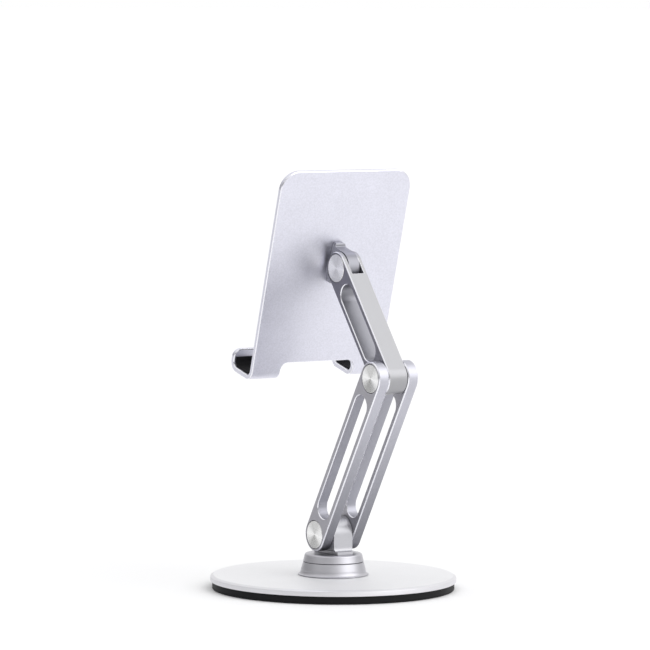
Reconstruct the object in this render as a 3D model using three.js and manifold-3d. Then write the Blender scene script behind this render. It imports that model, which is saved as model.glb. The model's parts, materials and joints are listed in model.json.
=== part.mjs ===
// Desk stand for a tablet: a weighted round base with a swivel, a two-plate lower arm,
// a single-bar upper arm and a tilting sheet holder with two hooks.
//
// Units are millimetres, +Z is up. The origin is the centre of the base's underside. The tablet's screen
// looks towards -Y and the arms are behind it, towards +Y. All three hinges turn about X. Left and right
// are those of a person looking at the screen, so right is +X.

import * as THREE from 'three';
import { mergeVertices } from 'three/addons/utils/BufferGeometryUtils.js';
import Module from 'manifold-3d';

const wasm = await Module();
wasm.setup();

// ---------- driving dimensions ----------

const GAP = 0.3; // clearance between a piece and the piece it was cut for
const SEAT = 0.1; // clearance between flat faces that rest on each other

// base
const BASE_RADIUS = 63.3;
const PAD_RADIUS = 62.3;
const PAD_HEIGHT = 3.8;
const PAD_FLOOR = 1.5;
const BASE_TOP = 7.1;
const BASE_BEVEL_OUT = 1.5;
const BASE_BEVEL_DOWN = 0.9;
const WEIGHT_RADIUS = 50;
const ACCESS_RADIUS = 6.5;

// swivel
const COLLAR_FOOT_RADIUS = 18.2;
const COLLAR_WAIST_RADIUS = 16.6; // where the flare runs into the cone above it
const COLLAR_RADIUS = 15.6; // at the top
const COLLAR_TOP = 13.9;
const COLLAR_CAVITY_RADIUS = 9.6;
const COLLAR_WEB = 3.5;
const COLLAR_LEDGE = 0.4; // upright edge under the flare
const COLLAR_FLARE_HEIGHT = 2.7;
const COLLAR_SCREW_CIRCLE = 12.7;
const COLLAR_SCREWS = 3;
const SWIVEL_SEAM = 0.25;
const RING_TOP_RADIUS = 14.9;
const RING_TOP = 18.3;
const RING_ROUND = 1.3;
const RING_FLOOR = 1.5; // under the bolt's head
const BOLT_RADIUS = 2.7;
const BOLT_HEAD_RADIUS = 4.2;
const SWIVEL_WASHER_RADIUS = 12;
const SWIVEL_WASHER_THICKNESS = 0.65;
const SPRING_RADIUS = 8;
const SPRING_SHEET = 0.5;
const SPRING_RISE = 0.6;
const NUT_RADIUS = 4.9;
const NUT_HEIGHT = 2.3;

// lower lug, on the swivel ring
const LUG_PIVOT_HEIGHT = 10.1; // above the swivel ring
const LUG_RADIUS = 9.1;
const LUG_HALF_WIDTH = 5.65;
const LUG_FOOT_HALF_LENGTH = 11.1;
const LUG_FOOT_HALF_WIDTH = 4.65;
const LUG_FOOT_THICKNESS = 1.4;
const LUG_FLARE = 2.4;
const LUG_FOOT_ROUND = 0.2;
const LUG_SCREW_OFFSET = 6.9;
const LUG_SCREW_REACH = 4.6; // above the swivel ring

// lower arm
const LOWER_LENGTH = 98;
const LOWER_LEAN = 31;
const PLATE_INNER = 5.85;
const PLATE_THICKNESS = 6;
const LOWER_HALF_HEIGHT = 8.6;

// upper arm
const UPPER_LENGTH = 67.4;
const UPPER_LEAN = -38;
const UPPER_HALF_WIDTH = 5.65;
const UPPER_HALF_HEIGHT = 8.4;
const FORK_HALF_GAP = 3.45;
const FORK_DEPTH = 9.2;

// slots in both arms
const SLOT_RADIUS = 5.65;
const SLOT_FROM_PIVOT = 11.3;
const EDGE_CHAMFER = 0.5;

// pivots
const BORE_RADIUS = 4.3;
const SLEEVE_RADIUS = 4;
const SCREW_RADIUS = 1.6;
const CAP_RADIUS = 7.2;
const CAP_THICKNESS = 1.3;
const CAP_RECESS = 0.05; // how far a cap's face lies below the face around it
const CAP_DISH = 0.25;
const CAP_EDGE = 0.15;
const HEAD_POCKET_RADIUS = 5.6;
const HEAD_POCKET_DEPTH = 2;
const WASHER_RADIUS = 6.8;
const WASHER_THICKNESS = 0.5;
const TILT_BORE_RADIUS = 3.5;
const TILT_BARREL_RADIUS = 3.2;
const TILT_HEAD_THICKNESS = 0.95;
const TILT_HEAD_DISH = 0.2;
const TILT_CORE = 0.6; // solid metal between the barrel's head and its thread
const TILT_WASHER_THICKNESS = 0.4;

// holder
const HOLDER_LEAN = 15.7;
const PIVOT_BEHIND_PLATE = 10.3; // from the tilt axis to the sheet's rear face
const SHEET = 2.5;
const SHEET_HALF_WIDTH = 39.4;
const SHEET_TOP = 48.7; // above the tilt axis, along the sheet
const SEAT_BELOW_PIVOT = 61; // the tablet's lower edge, along the sheet
const SHEET_CORNER_RADIUS = 10;
const BEND_RADIUS = 3; // inside the hook bends
const BACK_PAD = 1.4;
const HOOK_PAD = 0.6;
const HOOK_PAD_MARGIN = 1.2; // each side
const HOOK_DEPTH = 14.5; // clear depth from the back pad to the hook's front
const HOOK_HEIGHT = 8;
const HOOK_LIP_CORNER = 4;
const NOTCH_HALF_WIDTH = 22.2;
const NOTCH_ABOVE_SEAT = 6.5;
const NOTCH_FILLET = 4;
const PAD_MARGIN = 3;
const PAD_CORNER_RADIUS = 8;

// upper bracket, on the holder
const BRACKET_RADIUS = 8.8;
const BRACKET_HALF_WIDTH = 3.15;
const BRACKET_FOOT_HALF_LENGTH = 11.1;
const BRACKET_FOOT_THICKNESS = 3;
const BRACKET_FLARE = 3;
const BRACKET_FOOT_ROUND = 1.4;
const BRACKET_SCREW_OFFSET = 6.6;
const BRACKET_SCREW_REACH = 4.6; // behind the sheet's rear face

// small fasteners
const M3_RADIUS = 1.25;
const M3_HEAD_RADIUS = 2.5;
const M3_HEAD_HEIGHT = 1.5;
const M3_LOW_HEAD_RADIUS = 2;
const SOCKET_DEPTH = 0.9;
const EDGE_BREAK = 0.3; // small chamfer that takes the sharpness off an edge
const TIP_CHAMFER = 0.4;
const CUT_MARGIN = 1; // how far a cutter runs past the face it cuts

// sides of round pieces, by size
const ROUND = 72;
const MIDDLE = 32;
const CAP_SIDES = 28;
const FINE = 20;
const SMALL = 12;
const HEXAGON = 6;

// steps along an arc of an outline
const ARM_STEPS = 6;
const LUG_STEPS = 6;
const CORNER_STEPS = 4;

// ---------- heights and places that follow ----------

const BASE_BOTTOM = PAD_HEIGHT + SEAT;
const COLLAR_BOTTOM = BASE_TOP + SEAT;
const COLLAR_HEAD_SEAT = BASE_BOTTOM + GAP + M3_HEAD_HEIGHT;
const WEB_BOTTOM = COLLAR_TOP - COLLAR_WEB;
const RING_BOTTOM = COLLAR_TOP + SWIVEL_SEAM;
const SWIVEL_WASHER_SEAT = RING_BOTTOM - 2 * GAP - SWIVEL_WASHER_THICKNESS;
const COLLAR_SCREW_ROOF = SWIVEL_WASHER_SEAT - 1;
const BOLT_HEAD_SEAT = RING_BOTTOM + RING_FLOOR;
const LUG_SCREW_ROOF = RING_TOP + LUG_SCREW_REACH;
const BRACKET_SCREW_ROOF = -PIVOT_BEHIND_PLATE + BRACKET_SCREW_REACH;
const PLATE_OUTER = PLATE_INNER + PLATE_THICKNESS;
const LOWER_PIVOT_Z = RING_TOP + LUG_PIVOT_HEIGHT;
const SHEET_REAR = -PIVOT_BEHIND_PLATE;
const SHEET_FRONT = SHEET_REAR - SHEET;
const PAD_FRONT = SHEET_FRONT - SEAT - BACK_PAD;
const HOOK_INNER_BOTTOM = -SEAT_BELOW_PIVOT - HOOK_PAD - SEAT;
const HOOK_OUTER_BOTTOM = HOOK_INNER_BOTTOM - SHEET;
const HOOK_INNER_FRONT = PAD_FRONT - HOOK_DEPTH;
const HOOK_OUTER_FRONT = HOOK_INNER_FRONT - SHEET;
const HOOK_TOP = -SEAT_BELOW_PIVOT + HOOK_HEIGHT;

// ---------- materials ----------

function metal(color, roughness) {
  return new THREE.MeshStandardMaterial({ color, roughness, metalness: 1 });
}

function plastic(color, roughness) {
  return new THREE.MeshStandardMaterial({ color, roughness, metalness: 0 });
}

const LOOKS = {
  silver: () => metal(0xdcdce4, 0.45),
  armSilver: () => metal(0xb9b9c4, 0.42),
  spun: () => metal(0xd2d2d0, 0.25),
  steel: () => metal(0x8f9196, 0.35),
  weight: () => metal(0x55565a, 0.6),
  rubber: () => plastic(0x1b1c1e, 0.85),
  nylon: () => plastic(0xe8e6df, 0.5),
};

// ---------- solids ----------

// Cyclic axis swaps: a drawing's x, y and depth become Y, Z and X, and a lathe's axis becomes Z or X.
const AXIS_X = new THREE.Vector3(1, 0, 0);
const AXIS_Y = new THREE.Vector3(0, 1, 0);
const AXIS_Z = new THREE.Vector3(0, 0, 1);
const DRAWING_YZ = new THREE.Matrix4().makeBasis(AXIS_Y, AXIS_Z, AXIS_X);
const DRAWING_ZX = new THREE.Matrix4().makeBasis(AXIS_Z, AXIS_X, AXIS_Y);

// Six times the signed volume under one triangle.
function signedVolume(position, a, b, c) {
  const pa = new THREE.Vector3().fromBufferAttribute(position, a);
  const pb = new THREE.Vector3().fromBufferAttribute(position, b);
  const pc = new THREE.Vector3().fromBufferAttribute(position, c);
  return pa.dot(pb.cross(pc));
}

// A three.js geometry as a manifold solid, with its faces turned outwards.
function solid(geometry) {
  const source = geometry.clone();
  source.deleteAttribute('normal');
  source.deleteAttribute('uv');
  const merged = mergeVertices(source);
  const index = merged.index.array;
  const corners = [];
  let volume = 0;
  for (let i = 0; i < index.length; i += 3) {
    const [a, b, c] = [index[i], index[i + 1], index[i + 2]];
    if (a !== b && b !== c && c !== a) {
      corners.push([a, b, c]);
      volume += signedVolume(merged.attributes.position, a, b, c);
    }
  }
  const outward = volume > 0 ? corners : corners.map(([a, b, c]) => [a, c, b]);
  return new wasm.Manifold(new wasm.Mesh({
    numProp: 3,
    vertProperties: new Float32Array(merged.attributes.position.array),
    triVerts: new Uint32Array(outward.flat()),
  }));
}

// A solid of revolution about Z, from [radius, height] points.
function turnedZ(points, segments) {
  const profile = points.map(([radius, height]) => new THREE.Vector2(radius, height));
  return solid(new THREE.LatheGeometry(profile, segments).applyMatrix4(DRAWING_YZ));
}

// A solid of revolution about X, from [radius, x] points.
function turnedX(points, segments) {
  const profile = points.map(([radius, x]) => new THREE.Vector2(radius, x));
  return solid(new THREE.LatheGeometry(profile, segments).applyMatrix4(DRAWING_ZX));
}

function discPoints(radius, low, high) {
  return [[0, low], [radius, low], [radius, high], [0, high]];
}

function ringPoints(inner, outer, low, high) {
  return [[inner, low], [outer, low], [outer, high], [inner, high], [inner, low]];
}

function discZ(radius, low, high, segments = FINE) {
  return turnedZ(discPoints(radius, low, high), segments);
}

function discX(radius, low, high, segments = FINE) {
  return turnedX(discPoints(radius, low, high), segments);
}

function discY(radius, low, high) {
  const geometry = new THREE.CylinderGeometry(radius, radius, high - low, SMALL);
  return solid(geometry.translate(0, (low + high) / 2, 0));
}

// An extrusion along X of a drawing in Y and Z, centred on X = 0, with an optional edge chamfer.
function slabX(shape, width, curveSegments, chamfer = 0) {
  const geometry = new THREE.ExtrudeGeometry(shape, {
    depth: width - 2 * chamfer,
    curveSegments,
    bevelEnabled: chamfer > 0,
    bevelThickness: chamfer,
    bevelSize: chamfer,
    bevelOffset: -chamfer,
    bevelSegments: 1,
  });
  geometry.translate(0, 0, -width / 2 + chamfer);
  return solid(geometry.applyMatrix4(DRAWING_YZ));
}

// An extrusion along Y of a drawing in X and Z, from one Y to another.
function slabY(shape, fromY, toY, curveSegments) {
  const geometry = new THREE.ExtrudeGeometry(shape, {
    depth: toY - fromY,
    curveSegments,
    bevelEnabled: false,
  });
  geometry.rotateX(Math.PI / 2);
  return solid(geometry.translate(0, toY, 0));
}

function box(x0, x1, y0, y1, z0, z1) {
  const geometry = new THREE.BoxGeometry(x1 - x0, y1 - y0, z1 - z0);
  return solid(geometry.translate((x0 + x1) / 2, (y0 + y1) / 2, (z0 + z1) / 2));
}

function cutAll(body, cutters) {
  return cutters.reduce((left, cutter) => left.subtract(cutter), body);
}

function pieceMesh(name, body, material) {
  const mesh = body.getMesh();
  const geometry = new THREE.BufferGeometry();
  geometry.setAttribute('position', new THREE.BufferAttribute(new Float32Array(mesh.vertProperties), 3));
  geometry.setIndex(new THREE.BufferAttribute(new Uint32Array(mesh.triVerts), 1));
  geometry.computeVertexNormals();
  const piece = new THREE.Mesh(geometry, material);
  piece.name = name;
  return piece;
}

// ---------- outlines ----------

// A long outline with round ends, from z = low to z = high at the centres of the ends.
function obround(path, radius, low, high) {
  path.absarc(0, low, radius, Math.PI, 2 * Math.PI, false);
  path.absarc(0, high, radius, 0, Math.PI, false);
  path.closePath();
  return path;
}

function armOutline(length, halfHeight) {
  const shape = obround(new THREE.Shape(), halfHeight, 0, length);
  const slotEnd = SLOT_FROM_PIVOT + SLOT_RADIUS;
  shape.holes.push(obround(new THREE.Path(), SLOT_RADIUS, slotEnd, length - slotEnd));
  return shape;
}

function roundedRectangle(halfWidth, low, high, radius) {
  const shape = new THREE.Shape();
  shape.absarc(halfWidth - radius, low + radius, radius, -Math.PI / 2, 0, false);
  shape.absarc(halfWidth - radius, high - radius, radius, 0, Math.PI / 2, false);
  shape.absarc(-halfWidth + radius, high - radius, radius, Math.PI / 2, Math.PI, false);
  shape.absarc(-halfWidth + radius, low + radius, radius, Math.PI, 1.5 * Math.PI, false);
  shape.closePath();
  return shape;
}

// ---------- base ----------

function basePad() {
  const recess = discZ(WEIGHT_RADIUS + GAP, PAD_FLOOR, PAD_HEIGHT + CUT_MARGIN, MIDDLE);
  const disc = turnedZ([
    [0, 0],
    [PAD_RADIUS - EDGE_BREAK, 0],
    [PAD_RADIUS, EDGE_BREAK],
    [PAD_RADIUS, PAD_HEIGHT],
    [0, PAD_HEIGHT],
  ], ROUND);
  return disc.subtract(recess);
}

function weightDisc() {
  return turnedZ(ringPoints(ACCESS_RADIUS + 1, WEIGHT_RADIUS, PAD_FLOOR + SEAT, PAD_HEIGHT - SEAT), MIDDLE);
}

function collarScrewPlaces() {
  const places = [];
  for (let i = 0; i < COLLAR_SCREWS; i += 1) {
    const angle = (2 * Math.PI * i) / COLLAR_SCREWS + Math.PI / 2;
    places.push([COLLAR_SCREW_CIRCLE * Math.cos(angle), COLLAR_SCREW_CIRCLE * Math.sin(angle)]);
  }
  return places;
}

function basePlate() {
  const disc = turnedZ([
    [ACCESS_RADIUS, BASE_BOTTOM],
    [BASE_RADIUS - EDGE_BREAK, BASE_BOTTOM],
    [BASE_RADIUS, BASE_BOTTOM + EDGE_BREAK],
    [BASE_RADIUS, BASE_TOP - BASE_BEVEL_DOWN],
    [BASE_RADIUS - BASE_BEVEL_OUT, BASE_TOP],
    [ACCESS_RADIUS, BASE_TOP],
    [ACCESS_RADIUS, BASE_BOTTOM],
  ], ROUND);
  const holes = collarScrewPlaces().flatMap(([x, y]) => [
    discZ(M3_HEAD_RADIUS + GAP, BASE_BOTTOM - CUT_MARGIN, COLLAR_HEAD_SEAT + GAP, SMALL).translate(x, y, 0),
    discZ(M3_RADIUS + GAP, BASE_BOTTOM, BASE_TOP + CUT_MARGIN, SMALL).translate(x, y, 0),
  ]);
  return cutAll(disc, holes);
}

// The flare is a quarter ellipse from the foot up to the conical wall.
function collarFlare() {
  const points = [];
  const width = COLLAR_FOOT_RADIUS - COLLAR_WAIST_RADIUS;
  for (let i = 0; i <= CORNER_STEPS; i += 1) {
    const angle = (Math.PI / 2) * (i / CORNER_STEPS);
    points.push([
      COLLAR_FOOT_RADIUS - width * Math.sin(angle),
      COLLAR_BOTTOM + COLLAR_LEDGE + COLLAR_FLARE_HEIGHT * (1 - Math.cos(angle)),
    ]);
  }
  return points;
}

function baseCollar() {
  const body = turnedZ([
    [0, COLLAR_BOTTOM],
    [COLLAR_FOOT_RADIUS, COLLAR_BOTTOM],
    ...collarFlare(),
    [COLLAR_RADIUS, COLLAR_TOP - EDGE_BREAK],
    [COLLAR_RADIUS - EDGE_BREAK, COLLAR_TOP],
    [0, COLLAR_TOP],
  ], MIDDLE);
  const cutters = [
    discZ(COLLAR_CAVITY_RADIUS, COLLAR_BOTTOM - CUT_MARGIN, WEB_BOTTOM, MIDDLE),
    discZ(BOLT_RADIUS + GAP, WEB_BOTTOM - CUT_MARGIN, COLLAR_TOP + CUT_MARGIN),
    discZ(SWIVEL_WASHER_RADIUS + GAP, SWIVEL_WASHER_SEAT, COLLAR_TOP + CUT_MARGIN, MIDDLE),
    ...collarScrewPlaces().map(([x, y]) => (
      discZ(M3_RADIUS + GAP, COLLAR_BOTTOM - CUT_MARGIN, COLLAR_SCREW_ROOF, SMALL).translate(x, y, 0)
    )),
  ];
  return cutAll(body, cutters);
}

// A countersunk screw standing on its head, with a hexagon socket in the head.
function flatScrewZ(headBottom, headTop, tip, radius, headRadius) {
  const body = turnedZ([
    [0, headBottom],
    [headRadius, headBottom],
    [headRadius, headBottom + EDGE_BREAK],
    [radius, headTop],
    [radius, tip - TIP_CHAMFER],
    [radius - TIP_CHAMFER, tip],
    [0, tip],
  ], SMALL);
  const socket = discZ(headRadius / 2, headBottom - CUT_MARGIN, headBottom + SOCKET_DEPTH, HEXAGON);
  return body.subtract(socket);
}

function collarScrew() {
  return flatScrewZ(
    BASE_BOTTOM + GAP, COLLAR_HEAD_SEAT, COLLAR_SCREW_ROOF - GAP, M3_RADIUS, M3_HEAD_RADIUS,
  );
}

// ---------- swivel ----------

function swivelWasher() {
  const top = RING_BOTTOM - GAP;
  return turnedZ(
    ringPoints(BOLT_RADIUS + GAP, SWIVEL_WASHER_RADIUS, top - SWIVEL_WASHER_THICKNESS, top),
    MIDDLE,
  );
}

function swivelRing() {
  const rim = [];
  for (let i = 0; i <= CORNER_STEPS; i += 1) {
    const angle = (Math.PI / 2) * (i / CORNER_STEPS);
    rim.push([
      RING_TOP_RADIUS - RING_ROUND * (1 - Math.cos(angle)),
      RING_TOP - RING_ROUND * (1 - Math.sin(angle)),
    ]);
  }
  const body = turnedZ([
    [0, RING_BOTTOM],
    [COLLAR_RADIUS - EDGE_BREAK, RING_BOTTOM],
    [COLLAR_RADIUS, RING_BOTTOM + EDGE_BREAK],
    ...rim,
    [0, RING_TOP],
  ], MIDDLE);
  const cutters = [
    discZ(BOLT_RADIUS + GAP, RING_BOTTOM - CUT_MARGIN, RING_TOP + CUT_MARGIN),
    discZ(BOLT_HEAD_RADIUS + GAP, BOLT_HEAD_SEAT, RING_TOP + CUT_MARGIN),
  ];
  const headSeat = RING_BOTTOM + 2 * GAP + M3_HEAD_HEIGHT;
  for (const side of [-1, 1]) {
    const y = side * LUG_SCREW_OFFSET;
    cutters.push(
      discZ(M3_LOW_HEAD_RADIUS + GAP, RING_BOTTOM - CUT_MARGIN, headSeat, SMALL).translate(0, y, 0),
      discZ(M3_RADIUS + GAP, RING_BOTTOM, RING_TOP + CUT_MARGIN, SMALL).translate(0, y, 0),
    );
  }
  return cutAll(body, cutters);
}

function swivelBolt() {
  const headTop = RING_TOP - GAP;
  const seat = BOLT_HEAD_SEAT + GAP;
  const tip = BASE_BOTTOM + SEAT;
  const body = turnedZ([
    [0, tip],
    [BOLT_RADIUS - TIP_CHAMFER, tip],
    [BOLT_RADIUS, tip + TIP_CHAMFER],
    [BOLT_RADIUS, seat],
    [BOLT_HEAD_RADIUS, seat],
    [BOLT_HEAD_RADIUS, headTop - EDGE_BREAK],
    [BOLT_HEAD_RADIUS - EDGE_BREAK, headTop],
    [0, headTop],
  ], FINE);
  return body.subtract(discZ(BOLT_HEAD_RADIUS / 2, headTop - SOCKET_DEPTH, headTop + CUT_MARGIN, HEXAGON));
}

// A disc spring: a shallow cone pressed between the collar's web and the nut.
function swivelSpring() {
  const top = WEB_BOTTOM - GAP;
  const inner = BOLT_RADIUS + GAP;
  return turnedZ([
    [inner, top - SPRING_RISE - SPRING_SHEET],
    [SPRING_RADIUS, top - SPRING_SHEET],
    [SPRING_RADIUS, top],
    [inner, top - SPRING_RISE],
    [inner, top - SPRING_RISE - SPRING_SHEET],
  ], FINE);
}

function swivelNut() {
  const high = WEB_BOTTOM - 2 * GAP - SPRING_RISE - SPRING_SHEET;
  const low = high - NUT_HEIGHT;
  return discZ(NUT_RADIUS, low, high, HEXAGON)
    .subtract(discZ(BOLT_RADIUS + GAP, low - CUT_MARGIN, high + CUT_MARGIN));
}

// ---------- lugs ----------

// Side view of a lug about its pivot at the origin: a round head, straight sides and a flared foot.
function lugOutline(radius, pivotHeight, footHalf, footThickness, flareHeight, footRound) {
  const bottom = -pivotHeight;
  const footTop = bottom + footThickness;
  const shape = new THREE.Shape();
  shape.moveTo(-footHalf, bottom);
  shape.lineTo(footHalf, bottom);
  shape.lineTo(footHalf, footTop - footRound);
  shape.quadraticCurveTo(footHalf, footTop, footHalf - footRound, footTop);
  shape.quadraticCurveTo(radius, footTop, radius, footTop + flareHeight);
  shape.absarc(0, 0, radius, 0, Math.PI, false);
  shape.lineTo(-radius, footTop + flareHeight);
  shape.quadraticCurveTo(-radius, footTop, -footHalf + footRound, footTop);
  shape.quadraticCurveTo(-footHalf, footTop, -footHalf, footTop - footRound);
  shape.closePath();
  return shape;
}

// End view of the lower lug: the foot is narrower than the tongue above it.
function lugEndOutline() {
  const bottom = -LUG_PIVOT_HEIGHT - CUT_MARGIN;
  const footTop = -LUG_PIVOT_HEIGHT + LUG_FOOT_THICKNESS + LUG_FOOT_ROUND;
  const flareTop = footTop + LUG_FLARE;
  const top = LUG_RADIUS + CUT_MARGIN;
  const shape = new THREE.Shape();
  shape.moveTo(-LUG_FOOT_HALF_WIDTH, bottom);
  shape.lineTo(LUG_FOOT_HALF_WIDTH, bottom);
  shape.lineTo(LUG_FOOT_HALF_WIDTH, footTop);
  shape.quadraticCurveTo(LUG_HALF_WIDTH, footTop, LUG_HALF_WIDTH, flareTop);
  shape.lineTo(LUG_HALF_WIDTH, top);
  shape.lineTo(-LUG_HALF_WIDTH, top);
  shape.lineTo(-LUG_HALF_WIDTH, flareTop);
  shape.quadraticCurveTo(-LUG_HALF_WIDTH, footTop, -LUG_FOOT_HALF_WIDTH, footTop);
  shape.closePath();
  return shape;
}

// Round recesses on both faces of a knuckle, where its friction washers sit.
function washerRecesses(halfWidth, clearFace, washerThickness) {
  const floor = clearFace - 2 * GAP - washerThickness;
  const reach = halfWidth + CUT_MARGIN;
  return [
    discX(WASHER_RADIUS + GAP, floor, reach),
    discX(WASHER_RADIUS + GAP, -reach, -floor),
  ];
}

function lowerLug() {
  const outline = lugOutline(
    LUG_RADIUS, LUG_PIVOT_HEIGHT - SEAT, LUG_FOOT_HALF_LENGTH, LUG_FOOT_THICKNESS, LUG_FLARE, LUG_FOOT_ROUND,
  );
  const side = slabX(outline, 2 * LUG_HALF_WIDTH, LUG_STEPS);
  const reach = LUG_FOOT_HALF_LENGTH + CUT_MARGIN;
  const end = slabY(lugEndOutline(), -reach, reach, CORNER_STEPS);
  const screwRoof = LUG_SCREW_ROOF - LOWER_PIVOT_Z;
  const cutters = [
    discX(BORE_RADIUS, -LUG_HALF_WIDTH - CUT_MARGIN, LUG_HALF_WIDTH + CUT_MARGIN),
    ...washerRecesses(LUG_HALF_WIDTH, PLATE_INNER, WASHER_THICKNESS),
  ];
  for (const y of [-LUG_SCREW_OFFSET, LUG_SCREW_OFFSET]) {
    cutters.push(discZ(M3_RADIUS + GAP, -reach, screwRoof, SMALL).translate(0, y, 0));
  }
  return cutAll(side.intersect(end), cutters);
}

function lugScrew() {
  const headBottom = RING_BOTTOM + GAP;
  const headTop = headBottom + M3_HEAD_HEIGHT;
  return flatScrewZ(headBottom, headTop, LUG_SCREW_ROOF - GAP, M3_RADIUS, M3_LOW_HEAD_RADIUS);
}

function upperBracket() {
  const outline = lugOutline(
    BRACKET_RADIUS, PIVOT_BEHIND_PLATE - SEAT, BRACKET_FOOT_HALF_LENGTH, BRACKET_FOOT_THICKNESS,
    BRACKET_FLARE, BRACKET_FOOT_ROUND,
  );
  const body = slabX(outline, 2 * BRACKET_HALF_WIDTH, LUG_STEPS, EDGE_BREAK);
  const cutters = [
    discX(TILT_BORE_RADIUS, -BRACKET_HALF_WIDTH - CUT_MARGIN, BRACKET_HALF_WIDTH + CUT_MARGIN),
    ...washerRecesses(BRACKET_HALF_WIDTH, FORK_HALF_GAP, TILT_WASHER_THICKNESS),
  ];
  for (const y of [-BRACKET_SCREW_OFFSET, BRACKET_SCREW_OFFSET]) {
    cutters.push(
      discZ(M3_RADIUS + GAP, -PIVOT_BEHIND_PLATE - CUT_MARGIN, BRACKET_SCREW_ROOF, SMALL).translate(0, y, 0),
    );
  }
  return cutAll(body, cutters);
}

// ---------- arms ----------

// The stepped hole for a sleeve, a screw head and a cap, cut from the outer face of a side plate.
function pivotHole(z, inner, outer) {
  const capFloor = outer - CAP_THICKNESS - GAP;
  const pocketFloor = capFloor - HEAD_POCKET_DEPTH;
  return [
    discX(CAP_RADIUS + GAP, capFloor, outer + CUT_MARGIN, CAP_SIDES),
    discX(HEAD_POCKET_RADIUS, pocketFloor, outer),
    discX(BORE_RADIUS, inner - CUT_MARGIN, outer),
  ].map((cutter) => cutter.translate(0, 0, z));
}

// One side plate of the lower arm, on the +X side.
function lowerArmPlate() {
  const outline = armOutline(LOWER_LENGTH, LOWER_HALF_HEIGHT);
  const body = slabX(outline, PLATE_THICKNESS, ARM_STEPS, EDGE_CHAMFER)
    .translate(PLATE_INNER + PLATE_THICKNESS / 2, 0, 0);
  return cutAll(body, [
    ...pivotHole(0, PLATE_INNER, PLATE_OUTER),
    ...pivotHole(LOWER_LENGTH, PLATE_INNER, PLATE_OUTER),
  ]);
}

function upperArm() {
  const outline = armOutline(UPPER_LENGTH, UPPER_HALF_HEIGHT);
  const body = slabX(outline, 2 * UPPER_HALF_WIDTH, ARM_STEPS, EDGE_CHAMFER);
  const reach = UPPER_HALF_WIDTH + CUT_MARGIN;
  const headFloor = UPPER_HALF_WIDTH - TILT_HEAD_THICKNESS - GAP;
  const fork = box(
    -FORK_HALF_GAP, FORK_HALF_GAP,
    -UPPER_HALF_HEIGHT - CUT_MARGIN, UPPER_HALF_HEIGHT + CUT_MARGIN,
    UPPER_LENGTH - FORK_DEPTH, UPPER_LENGTH + UPPER_HALF_HEIGHT + CUT_MARGIN,
  );
  const tiltCutters = [
    discX(TILT_BORE_RADIUS, -reach, reach),
    discX(CAP_RADIUS + GAP, headFloor, reach, CAP_SIDES),
    discX(CAP_RADIUS + GAP, -reach, -headFloor, CAP_SIDES),
  ].map((cutter) => cutter.translate(0, 0, UPPER_LENGTH));
  return cutAll(body, [
    discX(BORE_RADIUS, -reach, reach),
    ...washerRecesses(UPPER_HALF_WIDTH, PLATE_INNER, WASHER_THICKNESS),
    fork,
    ...tiltCutters,
  ]);
}

// ---------- pivot hardware ----------

function pivotSleeve() {
  const half = PLATE_OUTER - CAP_THICKNESS - GAP - HEAD_POCKET_DEPTH - GAP;
  return turnedX(ringPoints(SCREW_RADIUS + GAP, SLEEVE_RADIUS, -half, half), FINE);
}

function pivotScrew() {
  const capFloor = PLATE_OUTER - CAP_THICKNESS - GAP;
  const headInner = capFloor - HEAD_POCKET_DEPTH + GAP;
  const headOuter = capFloor - GAP;
  const headRadius = HEAD_POCKET_RADIUS - GAP;
  const body = turnedX([
    [0, -headOuter],
    [SCREW_RADIUS, -headOuter],
    [SCREW_RADIUS, headInner],
    [headRadius, headInner],
    [headRadius, headOuter - EDGE_BREAK],
    [headRadius - EDGE_BREAK, headOuter],
    [0, headOuter],
  ], FINE);
  return body.subtract(discX(headRadius / 2, headOuter - SOCKET_DEPTH, headOuter + CUT_MARGIN, HEXAGON));
}

function pivotNut() {
  const capFloor = PLATE_OUTER - CAP_THICKNESS - GAP;
  const low = -capFloor + GAP;
  const high = -capFloor + HEAD_POCKET_DEPTH - GAP;
  const body = discX(HEAD_POCKET_RADIUS - GAP, low, high, HEXAGON);
  return body.subtract(discX(SCREW_RADIUS + GAP, low - CUT_MARGIN, high + CUT_MARGIN, SMALL));
}

// A cover cap on the +X side, dished a little towards its centre.
function pivotCap() {
  const outer = PLATE_OUTER - CAP_RECESS;
  const inner = PLATE_OUTER - CAP_THICKNESS;
  return turnedX([
    [0, inner],
    [CAP_RADIUS, inner],
    [CAP_RADIUS, outer - CAP_EDGE],
    [CAP_RADIUS - CAP_EDGE, outer],
    [0, outer - CAP_DISH],
  ], CAP_SIDES);
}

function frictionWasher(clearFace, bore, thickness) {
  const outer = clearFace - GAP;
  return turnedX(ringPoints(bore, WASHER_RADIUS, outer - thickness, outer), FINE);
}

// The tilt pivot has no room for caps: its wide spun heads sit in the fork's ears themselves.
function tiltBarrel() {
  const outer = UPPER_HALF_WIDTH - CAP_RECESS;
  const inner = UPPER_HALF_WIDTH - TILT_HEAD_THICKNESS;
  const end = -UPPER_HALF_WIDTH + TILT_HEAD_THICKNESS + 2 * GAP;
  const threadEnd = inner - TILT_CORE;
  return turnedX([
    [SCREW_RADIUS + GAP, end],
    [TILT_BARREL_RADIUS, end],
    [TILT_BARREL_RADIUS, inner],
    [CAP_RADIUS, inner],
    [CAP_RADIUS, outer - CAP_EDGE],
    [CAP_RADIUS - CAP_EDGE, outer],
    [0, outer - TILT_HEAD_DISH],
    [0, threadEnd],
    [SCREW_RADIUS + GAP, threadEnd],
    [SCREW_RADIUS + GAP, end],
  ], CAP_SIDES);
}

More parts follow.
